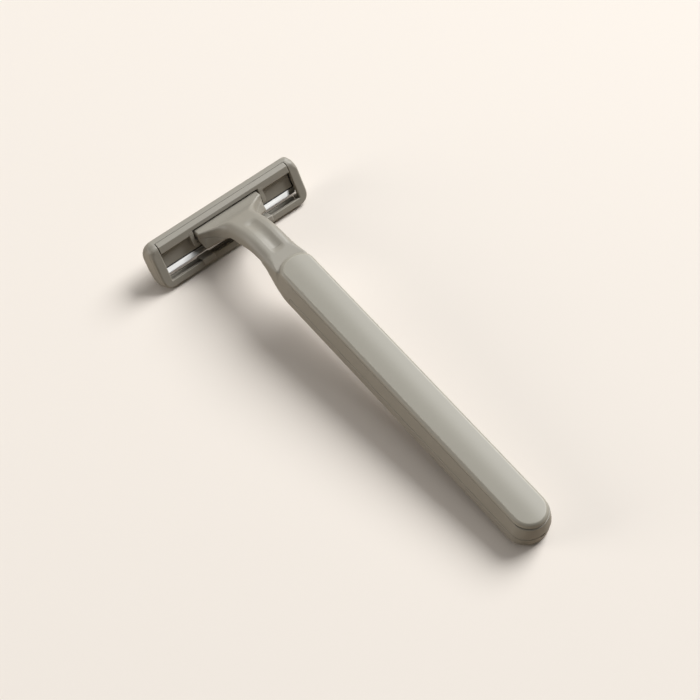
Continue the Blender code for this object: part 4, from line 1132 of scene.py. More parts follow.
def row_tree():
    """Tree that stands copies of the piece's own shape in a row."""
    tree, given, made = new_tree("row_of_copies", [
        ("Count", "Int"), ("Start", "Vector"), ("Step", "Vector"), ("Finish", "Material"),
    ])
    line = tree.nodes.new("GeometryNodeMeshLine")
    copies = tree.nodes.new("GeometryNodeInstanceOnPoints")
    wire(tree, [
        (given, "Count", line, "Count"), (given, "Start", line, "Start Location"), (given, "Step", line, "Offset"),
        (line, "Mesh", copies, "Points"), (given, "Geometry", copies, "Instance"),
    ])
    return finished(tree, copies, "Instances", given, made)


def strip_tree():
    """Tree that draws a flat strip with rounded edges along the piece's own line."""
    tree, given, made = new_tree("strip_on_path", [
        ("Width", "Float"), ("Thickness", "Float"), ("Edge", "Float"), ("Finish", "Material"),
    ])
    path = tree.nodes.new("GeometryNodeMeshToCurve")
    section = tree.nodes.new("GeometryNodeCurvePrimitiveQuadrilateral")
    edges = tree.nodes.new("GeometryNodeFilletCurve")
    edges.mode = "POLY"
    edges.inputs["Count"].default_value = 3
    strip = tree.nodes.new("GeometryNodeCurveToMesh")
    strip.inputs["Fill Caps"].default_value = True
    wire(tree, [
        (given, "Geometry", path, "Mesh"), (given, "Width", section, "Width"),
        (given, "Thickness", section, "Height"), (section, "Curve", edges, "Curve"),
        (given, "Edge", edges, "Radius"), (path, "Curve", strip, "Curve"), (edges, "Curve", strip, "Profile Curve"),
    ])
    return finished(tree, strip, "Mesh", given, made)


def grown(piece, tree, values, place):
    """Bake a node tree on a piece into a plain mesh, and set the mesh in place."""
    modifier = piece.modifiers.new(tree.name, "NODES")
    modifier.node_group = tree
    for name, value in values.items():
        modifier[input_of(tree, name)] = value
    graph = bpy.context.evaluated_depsgraph_get()
    mesh = bpy.data.meshes.new_from_object(piece.evaluated_get(graph))
    piece.modifiers.remove(modifier)
    old = piece.data
    piece.data = mesh
    bpy.data.meshes.remove(old)
    mesh.name = piece.name
    mesh.transform(place)
    mesh.shade_smooth()
    mesh.set_sharp_from_angle(angle=SHARP_ANGLE)


def row_of(piece, count, start, step, finish, place, body):
    """The piece repeated in a row and set in place on its body."""
    values = {"Count": count, "Start": start, "Step": step, "Finish": finish}
    grown(piece, shared("row_of_copies", row_tree), values, place)
    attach(piece, body)


def plain_piece(name, points, edges, faces):
    """An object from points, edges and faces."""
    mesh = bpy.data.meshes.new(name)
    mesh.from_pydata(points, edges, faces)
    mesh.update()
    piece = bpy.data.objects.new(name, mesh)
    bpy.context.scene.collection.objects.link(piece)
    return piece


def prism_piece(name, outline, half_length):
    """A prism along X from an outline of (y, z) points, with its faces outwards."""
    count = len(outline)
    points = [(x, u, v) for x in (-half_length, half_length) for u, v in outline]
    faces = [(i, (i + 1) % count, count + (i + 1) % count, count + i) for i in range(count)]
    faces += [tuple(reversed(range(count))), tuple(range(count, 2 * count))]
    area = sum(a[0] * b[1] - a[1] * b[0] for a, b in zip(outline, outline[1:] + outline[:1]))
    if area <= 0:
        faces = [tuple(reversed(face)) for face in faces]
    return plain_piece(name, points, [], faces)


def rod_piece(name, start, end, radius, chamfer, sides=24):
    """A rod between two points, with a chamfer at its far end."""
    axis = Vector(end) - Vector(start)
    turn = axis.to_track_quat("Z", "Y").to_matrix()
    rings = [(0.0, radius), (axis.length - chamfer, radius), (axis.length, radius - chamfer)]
    points = []
    for height, size in rings:
        for i in range(sides):
            angle = 2 * math.pi * i / sides
            points.append(Vector(start) + turn @ Vector((size * math.cos(angle), size * math.sin(angle), height)))
    faces = []
    for ring in range(len(rings) - 1):
        for i in range(sides):
            j = (i + 1) % sides
            faces.append((ring * sides + i, ring * sides + j, (ring + 1) * sides + j, (ring + 1) * sides + i))
    faces += [tuple(reversed(range(sides))), tuple(range(2 * sides, 3 * sides))]
    return plain_piece(name, points, [], faces)


# Finishes


def new_group(name, inputs, outputs):
    """A shader node group with named sockets, and its input and output nodes."""
    group = bpy.data.node_groups.new(name, "ShaderNodeTree")
    for label, kind, default in inputs:
        socket = group.interface.new_socket(label, in_out="INPUT", socket_type="NodeSocket" + kind)
        if default is not None:
            socket.default_value = default
    for label, kind in outputs:
        group.interface.new_socket(label, in_out="OUTPUT", socket_type="NodeSocket" + kind)
    return group, group.nodes.new("NodeGroupInput"), group.nodes.new("NodeGroupOutput")


def math_node(tree, operation, first, second=None, clamp=False):
    """A math node; each input is a socket or a number."""
    node = tree.nodes.new("ShaderNodeMath")
    node.operation = operation
    node.use_clamp = clamp
    for slot, value in enumerate((first, second)):
        if value is None:
            continue
        if isinstance(value, (int, float)):
            node.inputs[slot].default_value = value
        else:
            tree.links.new(value, node.inputs[slot])
    return node.outputs[0]


def centred(tree, value, amount):
    """A value between zero and one made to lie round zero, times an amount."""
    return math_node(tree, "MULTIPLY", math_node(tree, "SUBTRACT", value, 0.5), amount)


def weighted(tree, first, first_share, second, second_share):
    """Sum of two values, each with its share."""
    return math_node(tree, "ADD", math_node(tree, "MULTIPLY", first, first_share),
                     math_node(tree, "MULTIPLY", second, second_share))


def lifted(tree, shade, factor):
    """A colour times a factor that changes over the surface."""
    node = tree.nodes.new("ShaderNodeVectorMath")
    node.operation = "SCALE"
    tree.links.new(shade, node.inputs[0])
    tree.links.new(factor, node.inputs["Scale"])
    return node.outputs[0]


def noise_node(tree, vector, scale, detail, roughness):
    """Factor of a noise texture on given coordinates."""
    node = tree.nodes.new("ShaderNodeTexNoise")
    node.inputs["Scale"].default_value = scale
    node.inputs["Detail"].default_value = detail
    node.inputs["Roughness"].default_value = roughness
    tree.links.new(vector, node.inputs["Vector"])
    return node.outputs["Fac"]


def mix_node(tree, factor, first, second):
    """Colour mixed from two colours, each a socket or a colour."""
    node = tree.nodes.new("ShaderNodeMix")
    node.data_type = "RGBA"
    for socket, value in ((node.inputs["Factor"], factor), (node.inputs[6], first), (node.inputs[7], second)):
        if isinstance(value, (int, float)):
            socket.default_value = value
        elif isinstance(value, tuple):
            socket.default_value = (*value, 1.0)
        else:
            tree.links.new(value, socket)
    return node.outputs[2]


def mould_group():
    """Texture of a spark-eroded mould: fine grain, coarser specks and faint flow clouds."""
    group, given, made = new_group("mould_texture", [
        ("Vector", "Vector", None), ("Colour", "Color", (0.3, 0.3, 0.3, 1.0)), ("Clouds", "Float", 0.05),
        ("Roughness", "Float", 0.5), ("Spread", "Float", 0.08),
    ], [("Colour", "Color"), ("Roughness", "Float"), ("Height", "Float")])
    vector = given.outputs["Vector"]
    fine = noise_node(group, vector, 5200.0, 2.0, 0.6)
    coarse = noise_node(group, vector, 1500.0, 3.0, 0.55)
    clouds = noise_node(group, vector, 90.0, 3.0, 0.5)
    broad = noise_node(group, vector, 28.0, 2.0, 0.5)
    offset = centred(group, weighted(group, clouds, 0.5, broad, 0.5), given.outputs["Clouds"])
    lift = math_node(group, "ADD", math_node(group, "ADD", offset, centred(group, coarse, 0.05)), 1.0)
    rough = math_node(group, "ADD", given.outputs["Roughness"], centred(group, coarse, given.outputs["Spread"]),
                      clamp=True)
    group.links.new(lifted(group, given.outputs["Colour"], lift), made.inputs["Colour"])
    group.links.new(rough, made.inputs["Roughness"])
    group.links.new(weighted(group, fine, 0.6, coarse, 0.4), made.inputs["Height"])
    return group


def edge_group():
    """Edges a little paler and smoother, partly rubbed wear and partly a painted highlight, and inside corners
    darker, partly dust and partly painted shade.
    """
    group, given, made = new_group("edge_wear_dust_and_light", [
        ("Colour", "Color", (0.3, 0.3, 0.3, 1.0)), ("Worn and highlight colour", "Color", (0.5, 0.5, 0.5, 1.0)),
        ("Dust and shade colour", "Color", (0.2, 0.2, 0.2, 1.0)), ("Vector", "Vector", None), ("Amount", "Float", 0.5),
        ("Roughness", "Float", 0.5),
    ], [("Colour", "Color"), ("Roughness", "Float")])
    bend = group.nodes.new("ShaderNodeAttribute")
    bend.attribute_name = "edge_bend"
    breakup = noise_node(group, given.outputs["Vector"], 700.0, 3.0, 0.6)
    # Paler convex edges are partly rubbed wear and partly a painted highlight; darker hollows are partly dust and
    # partly painted shade
    convex = math_node(group, "SUBTRACT", bend.outputs["Fac"], 0.35, clamp=True)
    rubbed_and_lit = math_node(group, "MULTIPLY", math_node(group, "MULTIPLY", convex, given.outputs["Amount"]),
                       math_node(group, "ADD", breakup, 0.45), clamp=True)
    inner = math_node(group, "MULTIPLY", bend.outputs["Fac"], -1.0)
    dusty_and_shaded = math_node(group, "MULTIPLY", math_node(group, "SUBTRACT", inner, 0.15, clamp=True), 0.5, clamp=True)
    worn_and_lit = mix_node(group, rubbed_and_lit, given.outputs["Colour"], given.outputs["Worn and highlight colour"])
    group.links.new(mix_node(group, dusty_and_shaded, worn_and_lit, given.outputs["Dust and shade colour"]), made.inputs["Colour"])
    smoother = math_node(group, "SUBTRACT", given.outputs["Roughness"], math_node(group, "MULTIPLY", rubbed_and_lit, 0.12))
    group.links.new(smoother, made.inputs["Roughness"])
    return group


def brushed_group():
    """Rolling marks along X on strip metal: streaks, their height and a faint stain."""
    group, given, made = new_group("rolled_steel", [
        ("Vector", "Vector", None), ("Colour", "Color", (0.7, 0.7, 0.7, 1.0)), ("Roughness", "Float", 0.25),
    ], [("Colour", "Color"), ("Roughness", "Float"), ("Height", "Float")])
    stretch = group.nodes.new("ShaderNodeMapping")
    stretch.inputs["Scale"].default_value = (0.02, 1.0, 1.0)
    group.links.new(given.outputs["Vector"], stretch.inputs["Vector"])
    streaks = noise_node(group, stretch.outputs[0], 9000.0, 3.0, 0.6)
    stain = noise_node(group, given.outputs["Vector"], 160.0, 4.0, 0.6)
    dark = math_node(group, "MULTIPLY", math_node(group, "SUBTRACT", stain, 0.52, clamp=True), 0.5)
    lift = math_node(group, "SUBTRACT", math_node(group, "ADD", centred(group, streaks, 0.12), 1.0), dark)
    rough = math_node(group, "ADD", given.outputs["Roughness"], centred(group, streaks, 0.22), clamp=True)
    group.links.new(lifted(group, given.outputs["Colour"], lift), made.inputs["Colour"])
    group.links.new(rough, made.inputs["Roughness"])
    group.links.new(streaks, made.inputs["Height"])
    return group


def shared(name, maker):
    """A node group or tree by name, made once."""
    return bpy.data.node_groups.get(name) or maker()


def new_material(name, metallic=0.0, **values):
    """A Principled material, its tree, its shader and its Object coordinates."""
    material = bpy.data.materials.new(name)
    material.use_nodes = True
    tree = material.node_tree
    shader = tree.nodes["Principled BSDF"]
    shader.inputs["Metallic"].default_value = metallic
    for label, value in values.items():
        shader.inputs[label.replace("_", " ")].default_value = value
    coordinates = tree.nodes.new("ShaderNodeTexCoord")
    return material, tree, shader, coordinates.outputs["Object"]


def use_group(tree, group, links, values):
    """A group placed in a material, with its links and values."""
    node = tree.nodes.new("ShaderNodeGroup")
    node.node_tree = group
    for label, socket in links.items():
        tree.links.new(socket, node.inputs[label])
    for label, value in values.items():
        node.inputs[label].default_value = (*value, 1.0) if isinstance(value, tuple) else value
    return node.outputs


def bump(tree, height, shader, strength, distance):
    """A Bump node between a height and the shader's normal."""
    node = tree.nodes.new("ShaderNodeBump")
    node.inputs["Strength"].default_value = strength
    node.inputs["Distance"].default_value = distance
    tree.links.new(height, node.inputs["Height"])
    tree.links.new(node.outputs["Normal"], shader.inputs["Normal"])


def plastic_material(name, base, roughness, clouds, wear_and_highlight):
    """Moulded plastic with a fine matt texture, edges paler from wear and a painted highlight, and inside corners
    darker from dust and painted shade.
    """
    found = bpy.data.materials.get(name)
    if found:
        return found
    material, tree, shader, coordinates = new_material(name)
    base = tuple(base)
    texture = use_group(tree, shared("mould_texture", mould_group), {"Vector": coordinates},
                        {"Colour": base, "Clouds": clouds, "Roughness": roughness, "Spread": 0.10})
    # Paler colour for rubbed edges and their painted highlight, darker colour for dust and painted shade in inside
    # corners
    worn_and_lit = tuple(min(1.0, channel * 1.5 + 0.02) for channel in base)
    dust_and_shade = tuple(channel * 0.55 for channel in base)
    edges = use_group(tree, shared("edge_wear_dust_and_light", edge_group),
                      {"Colour": texture["Colour"], "Vector": coordinates, "Roughness": texture["Roughness"]},
                      {"Worn and highlight colour": worn_and_lit, "Dust and shade colour": dust_and_shade, "Amount": wear_and_highlight})
    tree.links.new(edges["Colour"], shader.inputs["Base Color"])
    tree.links.new(edges["Roughness"], shader.inputs["Roughness"])
    bump(tree, texture["Height"], shader, 0.35, 0.00002)
    return material


def matt_plastic(finish):
    """Finish of the shell, the cover and the head's mouldings."""
    return plastic_material("moulding_finish", finish.plastic, 0.45, 0.09, 0.2)


def soft_plastic(finish):
    """Finish of the thumb pad."""
    return plastic_material("pad_finish", finish.soft_plastic, 0.45, 0.07, 0.6)


def guard_plastic(finish):
    """Finish of the guard strip and its lugs."""
    return plastic_material("guard_finish", finish.guard, 0.5, 0.07, 0.55)


def band_mask(tree, value, middle, half_width):
    """One inside a band of values and zero outside it, with a soft border."""
    away = math_node(tree, "ABSOLUTE", math_node(tree, "SUBTRACT", value, middle))
    inside = math_node(tree, "SUBTRACT", half_width + BAND_BORDER / 2, away)
    return math_node(tree, "DIVIDE", inside, BAND_BORDER, clamp=True)


def steel_material(name, base, roughness, bands=()):
    """Rolled strip steel with fine marks along it, and dark bands (start, end, tone) painted from a blade's edge:
    the coated edge's tone and painted shade.
    """
    found = bpy.data.materials.get(name)
    if found:
        return found
    material, tree, shader, coordinates = new_material(name, metallic=1.0)
    marks = use_group(tree, shared("rolled_steel", brushed_group), {"Vector": coordinates},
                      {"Colour": tuple(base), "Roughness": roughness})
    shade = marks["Colour"]
    if bands:
        place = head_place()
        across = place.to_3x3() @ Vector((0.0, -math.sin(BLADE_ANGLE), math.cos(BLADE_ANGLE)))
        dot = tree.nodes.new("ShaderNodeVectorMath")
        dot.operation = "DOT_PRODUCT"
        dot.inputs[1].default_value = across
        tree.links.new(coordinates, dot.inputs[0])
        start = across.dot(place @ Vector((0.0, EDGE_DEPTH, EDGE_RISE)))
        # Each band is painted darker: the bed's band is painted shade, and the ground-edge bands are partly the
        # coated edge's tone and partly painted shade for its bevel
        for low, high, tone in bands:
            mask = band_mask(tree, dot.outputs["Value"], start + (low + high) / 2, (high - low) / 2)
            shade = mix_node(tree, mask, shade, tuple(tone * channel for channel in base))
    tree.links.new(shade, shader.inputs["Base Color"])
    tree.links.new(marks["Roughness"], shader.inputs["Roughness"])
    bump(tree, marks["Height"], shader, 0.15, 0.000004)
    return material


def strip_material(finish):
    """Waxy polymer of the lubricating strip."""
    material, tree, shader, coordinates = new_material("strip_finish", Coat_Weight=0.25, Coat_Roughness=0.3)
    texture = use_group(tree, shared("mould_texture", mould_group), {"Vector": coordinates},
                        {"Colour": tuple(finish.strip), "Clouds": 0.16, "Roughness": 0.42, "Spread": 0.12})
    tree.links.new(texture["Colour"], shader.inputs["Base Color"])
    tree.links.new(texture["Roughness"], shader.inputs["Roughness"])
    bump(tree, texture["Height"], shader, 0.3, 0.00002)
    return material


def floor_material(finish):
    """Pale matt paper."""
    material, tree, shader, coordinates = new_material("floor_paper", Roughness=0.9, Specular_IOR_Level=0.1)
    fibres = noise_node(tree, coordinates, 900.0, 4.0, 0.6)
    clouds = noise_node(tree, coordinates, 14.0, 2.0, 0.5)
    base = tuple(finish.floor)
    near = mix_node(tree, fibres, tuple(channel * 0.992 for channel in base), base)
    pale = tuple(min(1.0, channel * 1.01) for channel in base)
    paler = mix_node(tree, math_node(tree, "MULTIPLY", clouds, 0.5), near, pale)
    rays = tree.nodes.new("ShaderNodeLightPath")
    seen = mix_node(tree, rays.outputs["Is Camera Ray"], tuple(finish.bounce), paler)
    tree.links.new(seen, shader.inputs["Base Color"])
    bump(tree, fibres, shader, 0.05, 0.00003)
    return material


# Operators


class PieceOperator:
    """What the operators share: undo, and the sizes and finish that they read."""

    bl_options = {"REGISTER", "UNDO"}

    def given(self, context):
        """Sizes of the handle and the head, and the finish."""
        scene = context.scene
        return scene.razor_handle, scene.razor_head, scene.razor_finish


class RAZOR_OT_handle_shell(PieceOperator, bpy.types.Operator):
    """Upper moulding: grip walls and deck, curved neck, yoke and trunnions, with the ribs inside."""

    bl_idname = "razor.handle_shell"
    bl_label = "Handle shell"

    def execute(self, context):
        """Build the shell and its ribs."""
        handle, _, finish = self.given(context)
        pegs = [(place - PEG_MARGIN, place + PEG_MARGIN) for place in peg_places(handle)]
        start, end = handle.cover_length, pivot_along(handle)
        along = grip_spans(*pegs)
        along += [(along[-1][1], start - 0.0016, 0.0009), (start - 0.0016, start + 0.0007, 0.0002)]
        along += [(start + 0.0007, start + 0.0065, 0.00035), (start + 0.0065, end + 0.0027, 0.00016)]
        lines = [
            mirrored_lines((0.0, 0.0053, 0.00017), (0.0053, handle.yoke_half_width + 0.0012, 0.00017)),
            grid_lines(*along), grid_lines((-0.0051, 0.0067, 0.00015)),
        ]
        place = handle_place(handle)
        shell = moulding("handle_shell_moulding", shell_field(handle), lines, place, matt_plastic(finish))
        stand_for(shell, "handle_shell", "handle")
        reach = handle.grip_half_width - handle.deck_inset - handle.wall / 2
        roof = handle.deck_height - DECK_THICKNESS
        side, top, low = RIB_THICKNESS / 2, roof + DECK_THICKNESS / 2, roof - RIB_DROP
        outline = rounded([(-side, top, 0), (-side, low, 0.0002), (side, low, 0.0002), (side, top, 0)], 4)
        ribs = prism_piece("shell_ribs", outline, reach)
        spots = rib_places(handle)
        row_of(ribs, handle.rib_count, (0.0, spots[0], 0.0), (0.0, spots[1] - spots[0], 0.0), matt_plastic(finish),
               place, "handle")
        return {"FINISHED"}


class RAZOR_OT_back_cover(PieceOperator, bpy.types.Operator):
    """Lower moulding of the grip, with its locating lip and the pry notch at the butt."""

    bl_idname = "razor.back_cover"
    bl_label = "Back cover"

    def execute(self, context):
        """Build the cover."""
        handle, _, finish = self.given(context)
        end = handle.cover_length
        lines = [
            mirrored_lines((0.0, 0.0008, 0.0001), (0.0008, 0.0024, 0.0002), (0.0024, 0.0052, 0.00012)),
            grid_lines((-0.0003, 0.0012, 0.00011), (0.0012, 0.0052, 0.00017), (0.0052, end - 0.0026, 0.0012),
                       (end - 0.0026, end + 0.0003, 0.00015)),
            grid_lines((-0.0002, handle.seam_height + LIP_HEIGHT + 0.0003, 0.00011)),
        ]
        place = handle_place(handle)
        cover = moulding("back_cover_moulding", cover_field(handle), lines, place, matt_plastic(finish))
        stand_for(cover, "back_cover", "handle")
        return {"FINISHED"}


class RAZOR_OT_grip_pad(PieceOperator, bpy.types.Operator):
    """Raised thumb pad along the deck, with the pegs that hold it."""

    bl_idname = "razor.grip_pad"
    bl_label = "Thumb pad"

    def execute(self, context):
        """Build the pad and its pegs."""
        handle, _, finish = self.given(context)
        end = handle.cover_length + handle.pad_overhang
        top = handle.deck_height + GAP + handle.pad_thickness
        lines = [
            mirrored_lines((0.0, 0.0028, 0.0003), (0.0028, 0.0045, 0.0001)),
            grid_lines((0.0006, 0.0056, 0.00014), (0.0056, end - 0.0036, 0.0011),
                       (end - 0.0036, end + 0.0002, 0.00012)),
            grid_lines((handle.deck_height - 0.0001, top + 0.00015, 0.0001)),
        ]
        place = handle_place(handle)
        pad = moulding("thumb_pad", pad_field(handle), lines, place, soft_plastic(finish), 0.0001)
        stand_for(pad, "grip_pad", "handle")
        spots = peg_places(handle)
        base = handle.deck_height + GAP
        pegs = rod_piece("thumb_pad_pegs", (0, 0, base), (0, 0, base - PEG_LENGTH), PEG_RADIUS, 0.00015)
        step = spots[1] - spots[0] if len(spots) > 1 else 0.0
        row_of(pegs, len(spots), (0.0, spots[0], 0.0), (0.0, step, 0.0), soft_plastic(finish), place, "handle")
        return {"FINISHED"}


class RAZOR_OT_return_leaf(PieceOperator, bpy.types.Operator):
    """Spring strip under the neck that brings the head back to rest."""

    bl_idname = "razor.return_leaf"
    bl_label = "Return leaf"

    def execute(self, context):
        """Draw the strip along its curved line from the handle towards the head."""
        handle, _, finish = self.given(context)
        line = leaf_line(handle)
        path = [(0.0, along, up) for along, up in line]
        path.insert(0, (0.0, line[0][0] - LEAF_ROOT_LENGTH / 2, line[0][1]))
        leaf = plain_piece("return_leaf_strip", path, [(i, i + 1) for i in range(len(path) - 1)], [])
        place = handle_place(handle)
        grown(leaf, shared("strip_on_path", strip_tree), {
            "Width": 2 * LEAF_HALF_WIDTH, "Thickness": LEAF_THICKNESS, "Edge": LEAF_THICKNESS * 0.3,
            "Finish": steel_material("leaf_finish", finish.spring, 0.34),
        }, place)
        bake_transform(leaf)
        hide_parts("return_leaf")
        return {"FINISHED"}


class RAZOR_OT_head_frame(PieceOperator, bpy.types.Operator):
    """Outer moulding of the head: end caps, far rail and guard rail."""

    bl_idname = "razor.head_frame"
    bl_label = "Head frame"

    def execute(self, context):
        """Build the frame."""
        _, head, finish = self.given(context)
        opening, end = head.half_length - head.cap_width, head.half_length + head.end_flare
        lines = [
            mirrored_lines((0.0, opening - 0.0004, 0.0011), (opening - 0.0004, end + 0.0002, 0.0001)),
            grid_lines((-0.0002, head.depth + 0.0002, 0.0001)), grid_lines((-0.0003, head.rise + 0.0002, 0.0001)),
        ]
        made = moulding("head_frame_moulding", frame_field(head), lines, head_place(), matt_plastic(finish))
        stand_for(made, "head_frame", "head")
        return {"FINISHED"}


class RAZOR_OT_blade_carrier(PieceOperator, bpy.types.Operator):
    """Inner moulding with the crest bar, the blade bed and the posts that hold the yoke."""

    bl_idname = "razor.blade_carrier"
    bl_label = "Blade carrier"

    def execute(self, context):
        """Build the carrier."""
        handle, head, finish = self.given(context)
        inner = handle.yoke_half_width + GAP
        half = head.half_length - head.cap_width
        outer = inner + POST_THICKNESS
        across = [
            (0.0, 0.0038, 0.0008), (0.0038, 0.0054, 0.0001), (0.0054, 0.0074, 0.0006),
            (0.0074, inner - 0.0003, 0.00018), (inner - 0.0003, outer + 0.0003, 0.0001),
            (outer + 0.0003, 0.0130, 0.0006), (0.0130, 0.0146, 0.0001), (0.0146, half - 0.0005, 0.0008),
            (half - 0.0005, half + 0.0001, 0.0001),
        ]
        lines = [
            mirrored_lines(*across), grid_lines((-0.0008, head.depth - CAP_THICKNESS + 0.0001, 0.00009)),
            grid_lines((0.0036, head.rise, 0.00009)),
        ]
        field = carrier_field(handle, head)
        made = moulding("blade_carrier_moulding", field, lines, head_place(), matt_plastic(finish))
        stand_for(made, "blade_carrier", "head")
        return {"FINISHED"}


class RAZOR_OT_guard_strip(PieceOperator, bpy.types.Operator):
    """Strip on the guard rail with the two lugs that hook over the rail, and its fins."""

    bl_idname = "razor.guard_strip"
    bl_label = "Guard strip"

    def execute(self, context):
        """Build the strip, its lugs and its row of fins."""
        _, head, finish = self.given(context)
        half = head.half_length - head.cap_width - GAP
        lug_outer = LUG_INNER + LUG_WIDTH
        across = [
            (0.0, LUG_INNER - 0.0003, 0.0009), (LUG_INNER - 0.0003, LUG_INNER + 0.0006, 0.00008),
            (LUG_INNER + 0.0006, lug_outer - 0.0006, 0.0003), (lug_outer - 0.0006, lug_outer + 0.0003, 0.00008),
            (lug_outer + 0.0003, half - 0.0004, 0.0009), (half - 0.0004, half + 0.0002, 0.0001),
        ]
        lines = [
            mirrored_lines(*across), grid_lines((-0.0007, 0.0030, 0.00008)), grid_lines((0.0002, 0.0024, 0.00007)),
        ]
        place = head_place()
        strip = moulding("guard_strip_moulding", guard_field(head), lines, place, guard_plastic(finish), 0.00004)
        stand_for(strip, "guard_strip", "head")
        base = guard_bed() + GAP / 2 + STRIP_BASE / 2
        low = guard_low(head)
        pitch = (STRIP_HIGH - low - FIN_THICKNESS) / (head.fin_count - 1)
        tip = EDGE_DEPTH - (EDGE_RISE - low) * math.tan(GUARD_ANGLE)
        fin = rounded([
            (base, low, 0), (tip, low + FIN_THICKNESS * 0.6, 0.00006), (tip, low + FIN_THICKNESS * 1.3, 0.00006),
            (base, low + FIN_THICKNESS * 2, 0),
        ], 4)
        fins = prism_piece("guard_fins", fin, half - 0.0001)
        row_of(fins, head.fin_count, (0.0, 0.0, 0.0), (0.0, pitch * math.tan(GUARD_ANGLE), pitch),
               guard_plastic(finish), place, "head")
        return {"FINISHED"}


class RAZOR_OT_blades(PieceOperator, bpy.types.Operator):
    """Finish of the two blades, with their dark bands of coated edge and painted shade, and of the spacer between
    them, whose solids are shown as they are packed.
    """

    bl_idname = "razor.blades"
    bl_label = "Blades and spacer"

    def execute(self, context):
        """Give each node its finish."""
        _, _, finish = self.given(context)
        bed_edge = (BED_LOW - EDGE_RISE) / math.cos(BLADE_ANGLE)
        # The lower blade's band from BED_SHADE is painted shade under the bed's lip; both ground-edge bands are
        # partly the coated edge's tone and partly painted shade for the bevel
        lower = steel_material("lower_blade_steel_and_shade", finish.steel, 0.55, [
            (-BEYOND_BLADE, GROUND_EDGE, EDGE_TONE), (BED_SHADE, bed_edge + BEYOND_BLADE, SHADE_TONE),
        ])
        upper = steel_material("upper_blade_steel_and_shade", finish.steel, 0.55, [
            (-BEYOND_BLADE, BLADE_SPAN + GROUND_EDGE, EDGE_TONE),
        ])
        finishes = {"lower_blade": lower, "upper_blade": upper, "blade_spacer": matt_plastic(finish)}
        for node, material in finishes.items():
            mesh = frame["nodes"][node].data
            mesh.materials.clear()
            mesh.materials.append(material)
        return {"FINISHED"}


class RAZOR_OT_blade_cap(PieceOperator, bpy.types.Operator):
    """Cap that clamps the blades from the shaving side, with its studs."""

    bl_idname = "razor.blade_cap"
    bl_label = "Blade cap"

    def execute(self, context):
        """Build the cap and its row of studs."""
        _, head, finish = self.given(context)
        half = head.half_length - END_WALL - GAP
        lines = [
            mirrored_lines((0.0, half - 0.0030, 0.0011), (half - 0.0030, half + 0.0002, 0.00012)),
            grid_lines((0.0016, head.depth + 0.0002, 0.00009)), grid_lines((0.0036, head.rise, 0.00009)),
        ]
        place = head_place()
        cap = moulding("blade_cap_moulding", blade_cap_field(head), lines, place, matt_plastic(finish))
        stand_for(cap, "blade_cap", "head")
        start, end = stack_point(STUD_ALONG, cap_offset() + STUD_RADIUS), stack_point(STUD_ALONG, -STUD_SINK)
        studs = rod_piece("cap_studs", (0, *start), (0, *end), STUD_RADIUS, 0.00006, 16)
        spots = stud_places(head)
        row_of(studs, head.stud_count, (spots[0], 0.0, 0.0), (STUD_PITCH, 0.0, 0.0), matt_plastic(finish), place,
               "head")
        return {"FINISHED"}


class RAZOR_OT_lubricating_strip(PieceOperator, bpy.types.Operator):
    """Waxy strip in the bed of the cap."""

    bl_idname = "razor.lubricating_strip"
    bl_label = "Lubricating strip"

    def execute(self, context):
        """Build the strip."""
        _, head, finish = self.given(context)
        low, high = strip_bed(head)
        half = head.half_length - END_WALL - GAP - STRIP_END
        lines = [
            mirrored_lines((0.0, half - 0.0004, 0.0012), (half - 0.0004, half + 0.0002, 0.00008)),
            grid_lines((head.depth - 0.0006, head.depth + 0.0001, 0.00005)),
            grid_lines((low - 0.0001, high + 0.0001, 0.00004)),
        ]
        material = strip_material(finish)
        strip = moulding("lubricating_strip_moulding", strip_field(head), lines, head_place(), material, 0.00003)
        stand_for(strip, "lubricating_strip", "head")
        return {"FINISHED"}


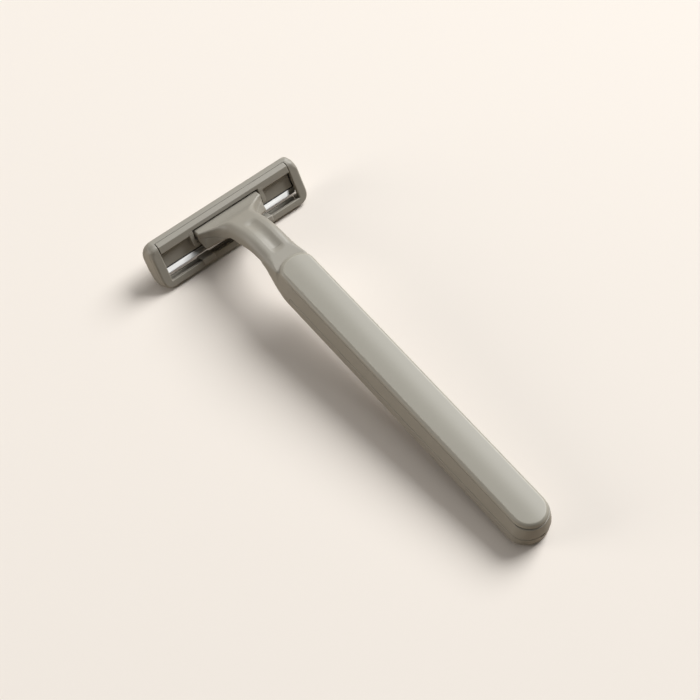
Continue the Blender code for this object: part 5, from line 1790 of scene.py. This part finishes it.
class RAZOR_OT_stage(PieceOperator, bpy.types.Operator):
    """Pale floor, soft studio light and the camera at the photograph's angle."""

    bl_idname = "razor.stage"
    bl_label = "Stage"

    def execute(self, context):
        """Lay the floor, hang the lamps and set the camera."""
        _, _, finish = self.given(context)
        scene = context.scene
        corners = [(FLOOR_REACH * x, FLOOR_REACH * y, -FLOOR_DROP) for x, y in ((-1, -1), (1, -1), (1, 1), (-1, 1))]
        floor = plain_piece("floor", corners, [], [(0, 1, 2, 3)])
        floor.data.materials.append(floor_material(finish))
        powers = (finish.key_power, finish.key_power * TOP_SHARE, finish.side_power, finish.card_power)
        lamps = {name: self.lamp(name, *LAMPS[name], power) for name, power in zip(LAMPS, powers)}
        card = lamps["steel_card"]
        card.data.cycles.max_bounces = 0
        steel = bpy.data.collections.new("steel_parts")
        for node in ("lower_blade", "upper_blade"):
            steel.objects.link(frame["nodes"][node])
        card.light_linking.receiver_collection = steel
        world = bpy.data.worlds.new("studio")
        world.use_nodes = True
        background = world.node_tree.nodes["Background"]
        background.inputs["Color"].default_value = SKY_TINT
        background.inputs["Strength"].default_value = finish.fill
        scene.world = world
        data = bpy.data.cameras.new("camera")
        data.sensor_width = VIEW_SENSOR
        data.lens = VIEW_LENS
        data.clip_start = 0.01
        camera = bpy.data.objects.new("camera", data)
        scene.collection.objects.link(camera)
        level = math.cos(VIEW_HEIGHT)
        back = Vector((math.sin(VIEW_TURN) * level, -math.cos(VIEW_TURN) * level, math.sin(VIEW_HEIGHT)))
        camera.location = Vector(VIEW_POINT) + back * VIEW_DISTANCE
        camera.rotation_euler = back.to_track_quat("Z", "Y").to_euler()
        scene.camera = camera
        scene.view_settings.view_transform = "Standard"
        return {"FINISHED"}

    def lamp(self, name, turn, height, distance, size, tint, power):
        """A soft lamp that looks at the origin from a turn and a height in degrees, and a distance."""
        turn, height = math.radians(turn), math.radians(height)
        level = math.cos(height)
        back = Vector((level * math.cos(turn), level * math.sin(turn), math.sin(height)))
        data = bpy.data.lights.new(name, "AREA")
        data.shape = "DISK"
        data.size = size
        data.energy = power
        data.color = tint
        lamp = bpy.data.objects.new(name, data)
        lamp.location = back * distance
        lamp.rotation_euler = back.to_track_quat("Z", "Y").to_euler()
        bpy.context.scene.collection.objects.link(lamp)
        return lamp


OPERATORS = (
    RAZOR_OT_handle_shell, RAZOR_OT_back_cover, RAZOR_OT_grip_pad, RAZOR_OT_return_leaf, RAZOR_OT_head_frame,
    RAZOR_OT_blade_carrier, RAZOR_OT_guard_strip, RAZOR_OT_blades, RAZOR_OT_blade_cap, RAZOR_OT_lubricating_strip,
    RAZOR_OT_stage,
)


class RAZOR_PT_pieces(bpy.types.Panel):
    """Panel that lists the steps and the sizes."""

    bl_idname = "RAZOR_PT_pieces"
    bl_label = "Disposable razor"
    bl_space_type = "VIEW_3D"
    bl_region_type = "UI"
    bl_category = "Razor"

    def draw(self, context):
        """Draw the buttons and the settings."""
        column = self.layout.column(align=True)
        for operator in OPERATORS:
            column.operator(operator.bl_idname, text=operator.bl_label)
        for group in (context.scene.razor_handle, context.scene.razor_head, context.scene.razor_finish):
            box = self.layout.box()
            for name in group.__annotations__:
                box.prop(group, name)


CLASSES = (HandleSizes, HeadSizes, Finish, *OPERATORS, RAZOR_PT_pieces)


def register():
    """Register the classes and hang the settings on the scene."""
    for item in CLASSES:
        bpy.utils.register_class(item)
    bpy.types.Scene.razor_handle = PointerProperty(type=HandleSizes)
    bpy.types.Scene.razor_head = PointerProperty(type=HeadSizes)
    bpy.types.Scene.razor_finish = PointerProperty(type=Finish)


def unregister():
    """Take the settings and the classes away again."""
    for name in ("razor_handle", "razor_head", "razor_finish"):
        delattr(bpy.types.Scene, name)
    for item in reversed(CLASSES):
        bpy.utils.unregister_class(item)


def main():
    """Build every piece and the stage."""
    register()
    for operator in OPERATORS:
        group, name = operator.bl_idname.split(".")
        getattr(getattr(bpy.ops, group), name)()


if __name__ == "__main__":
    main()
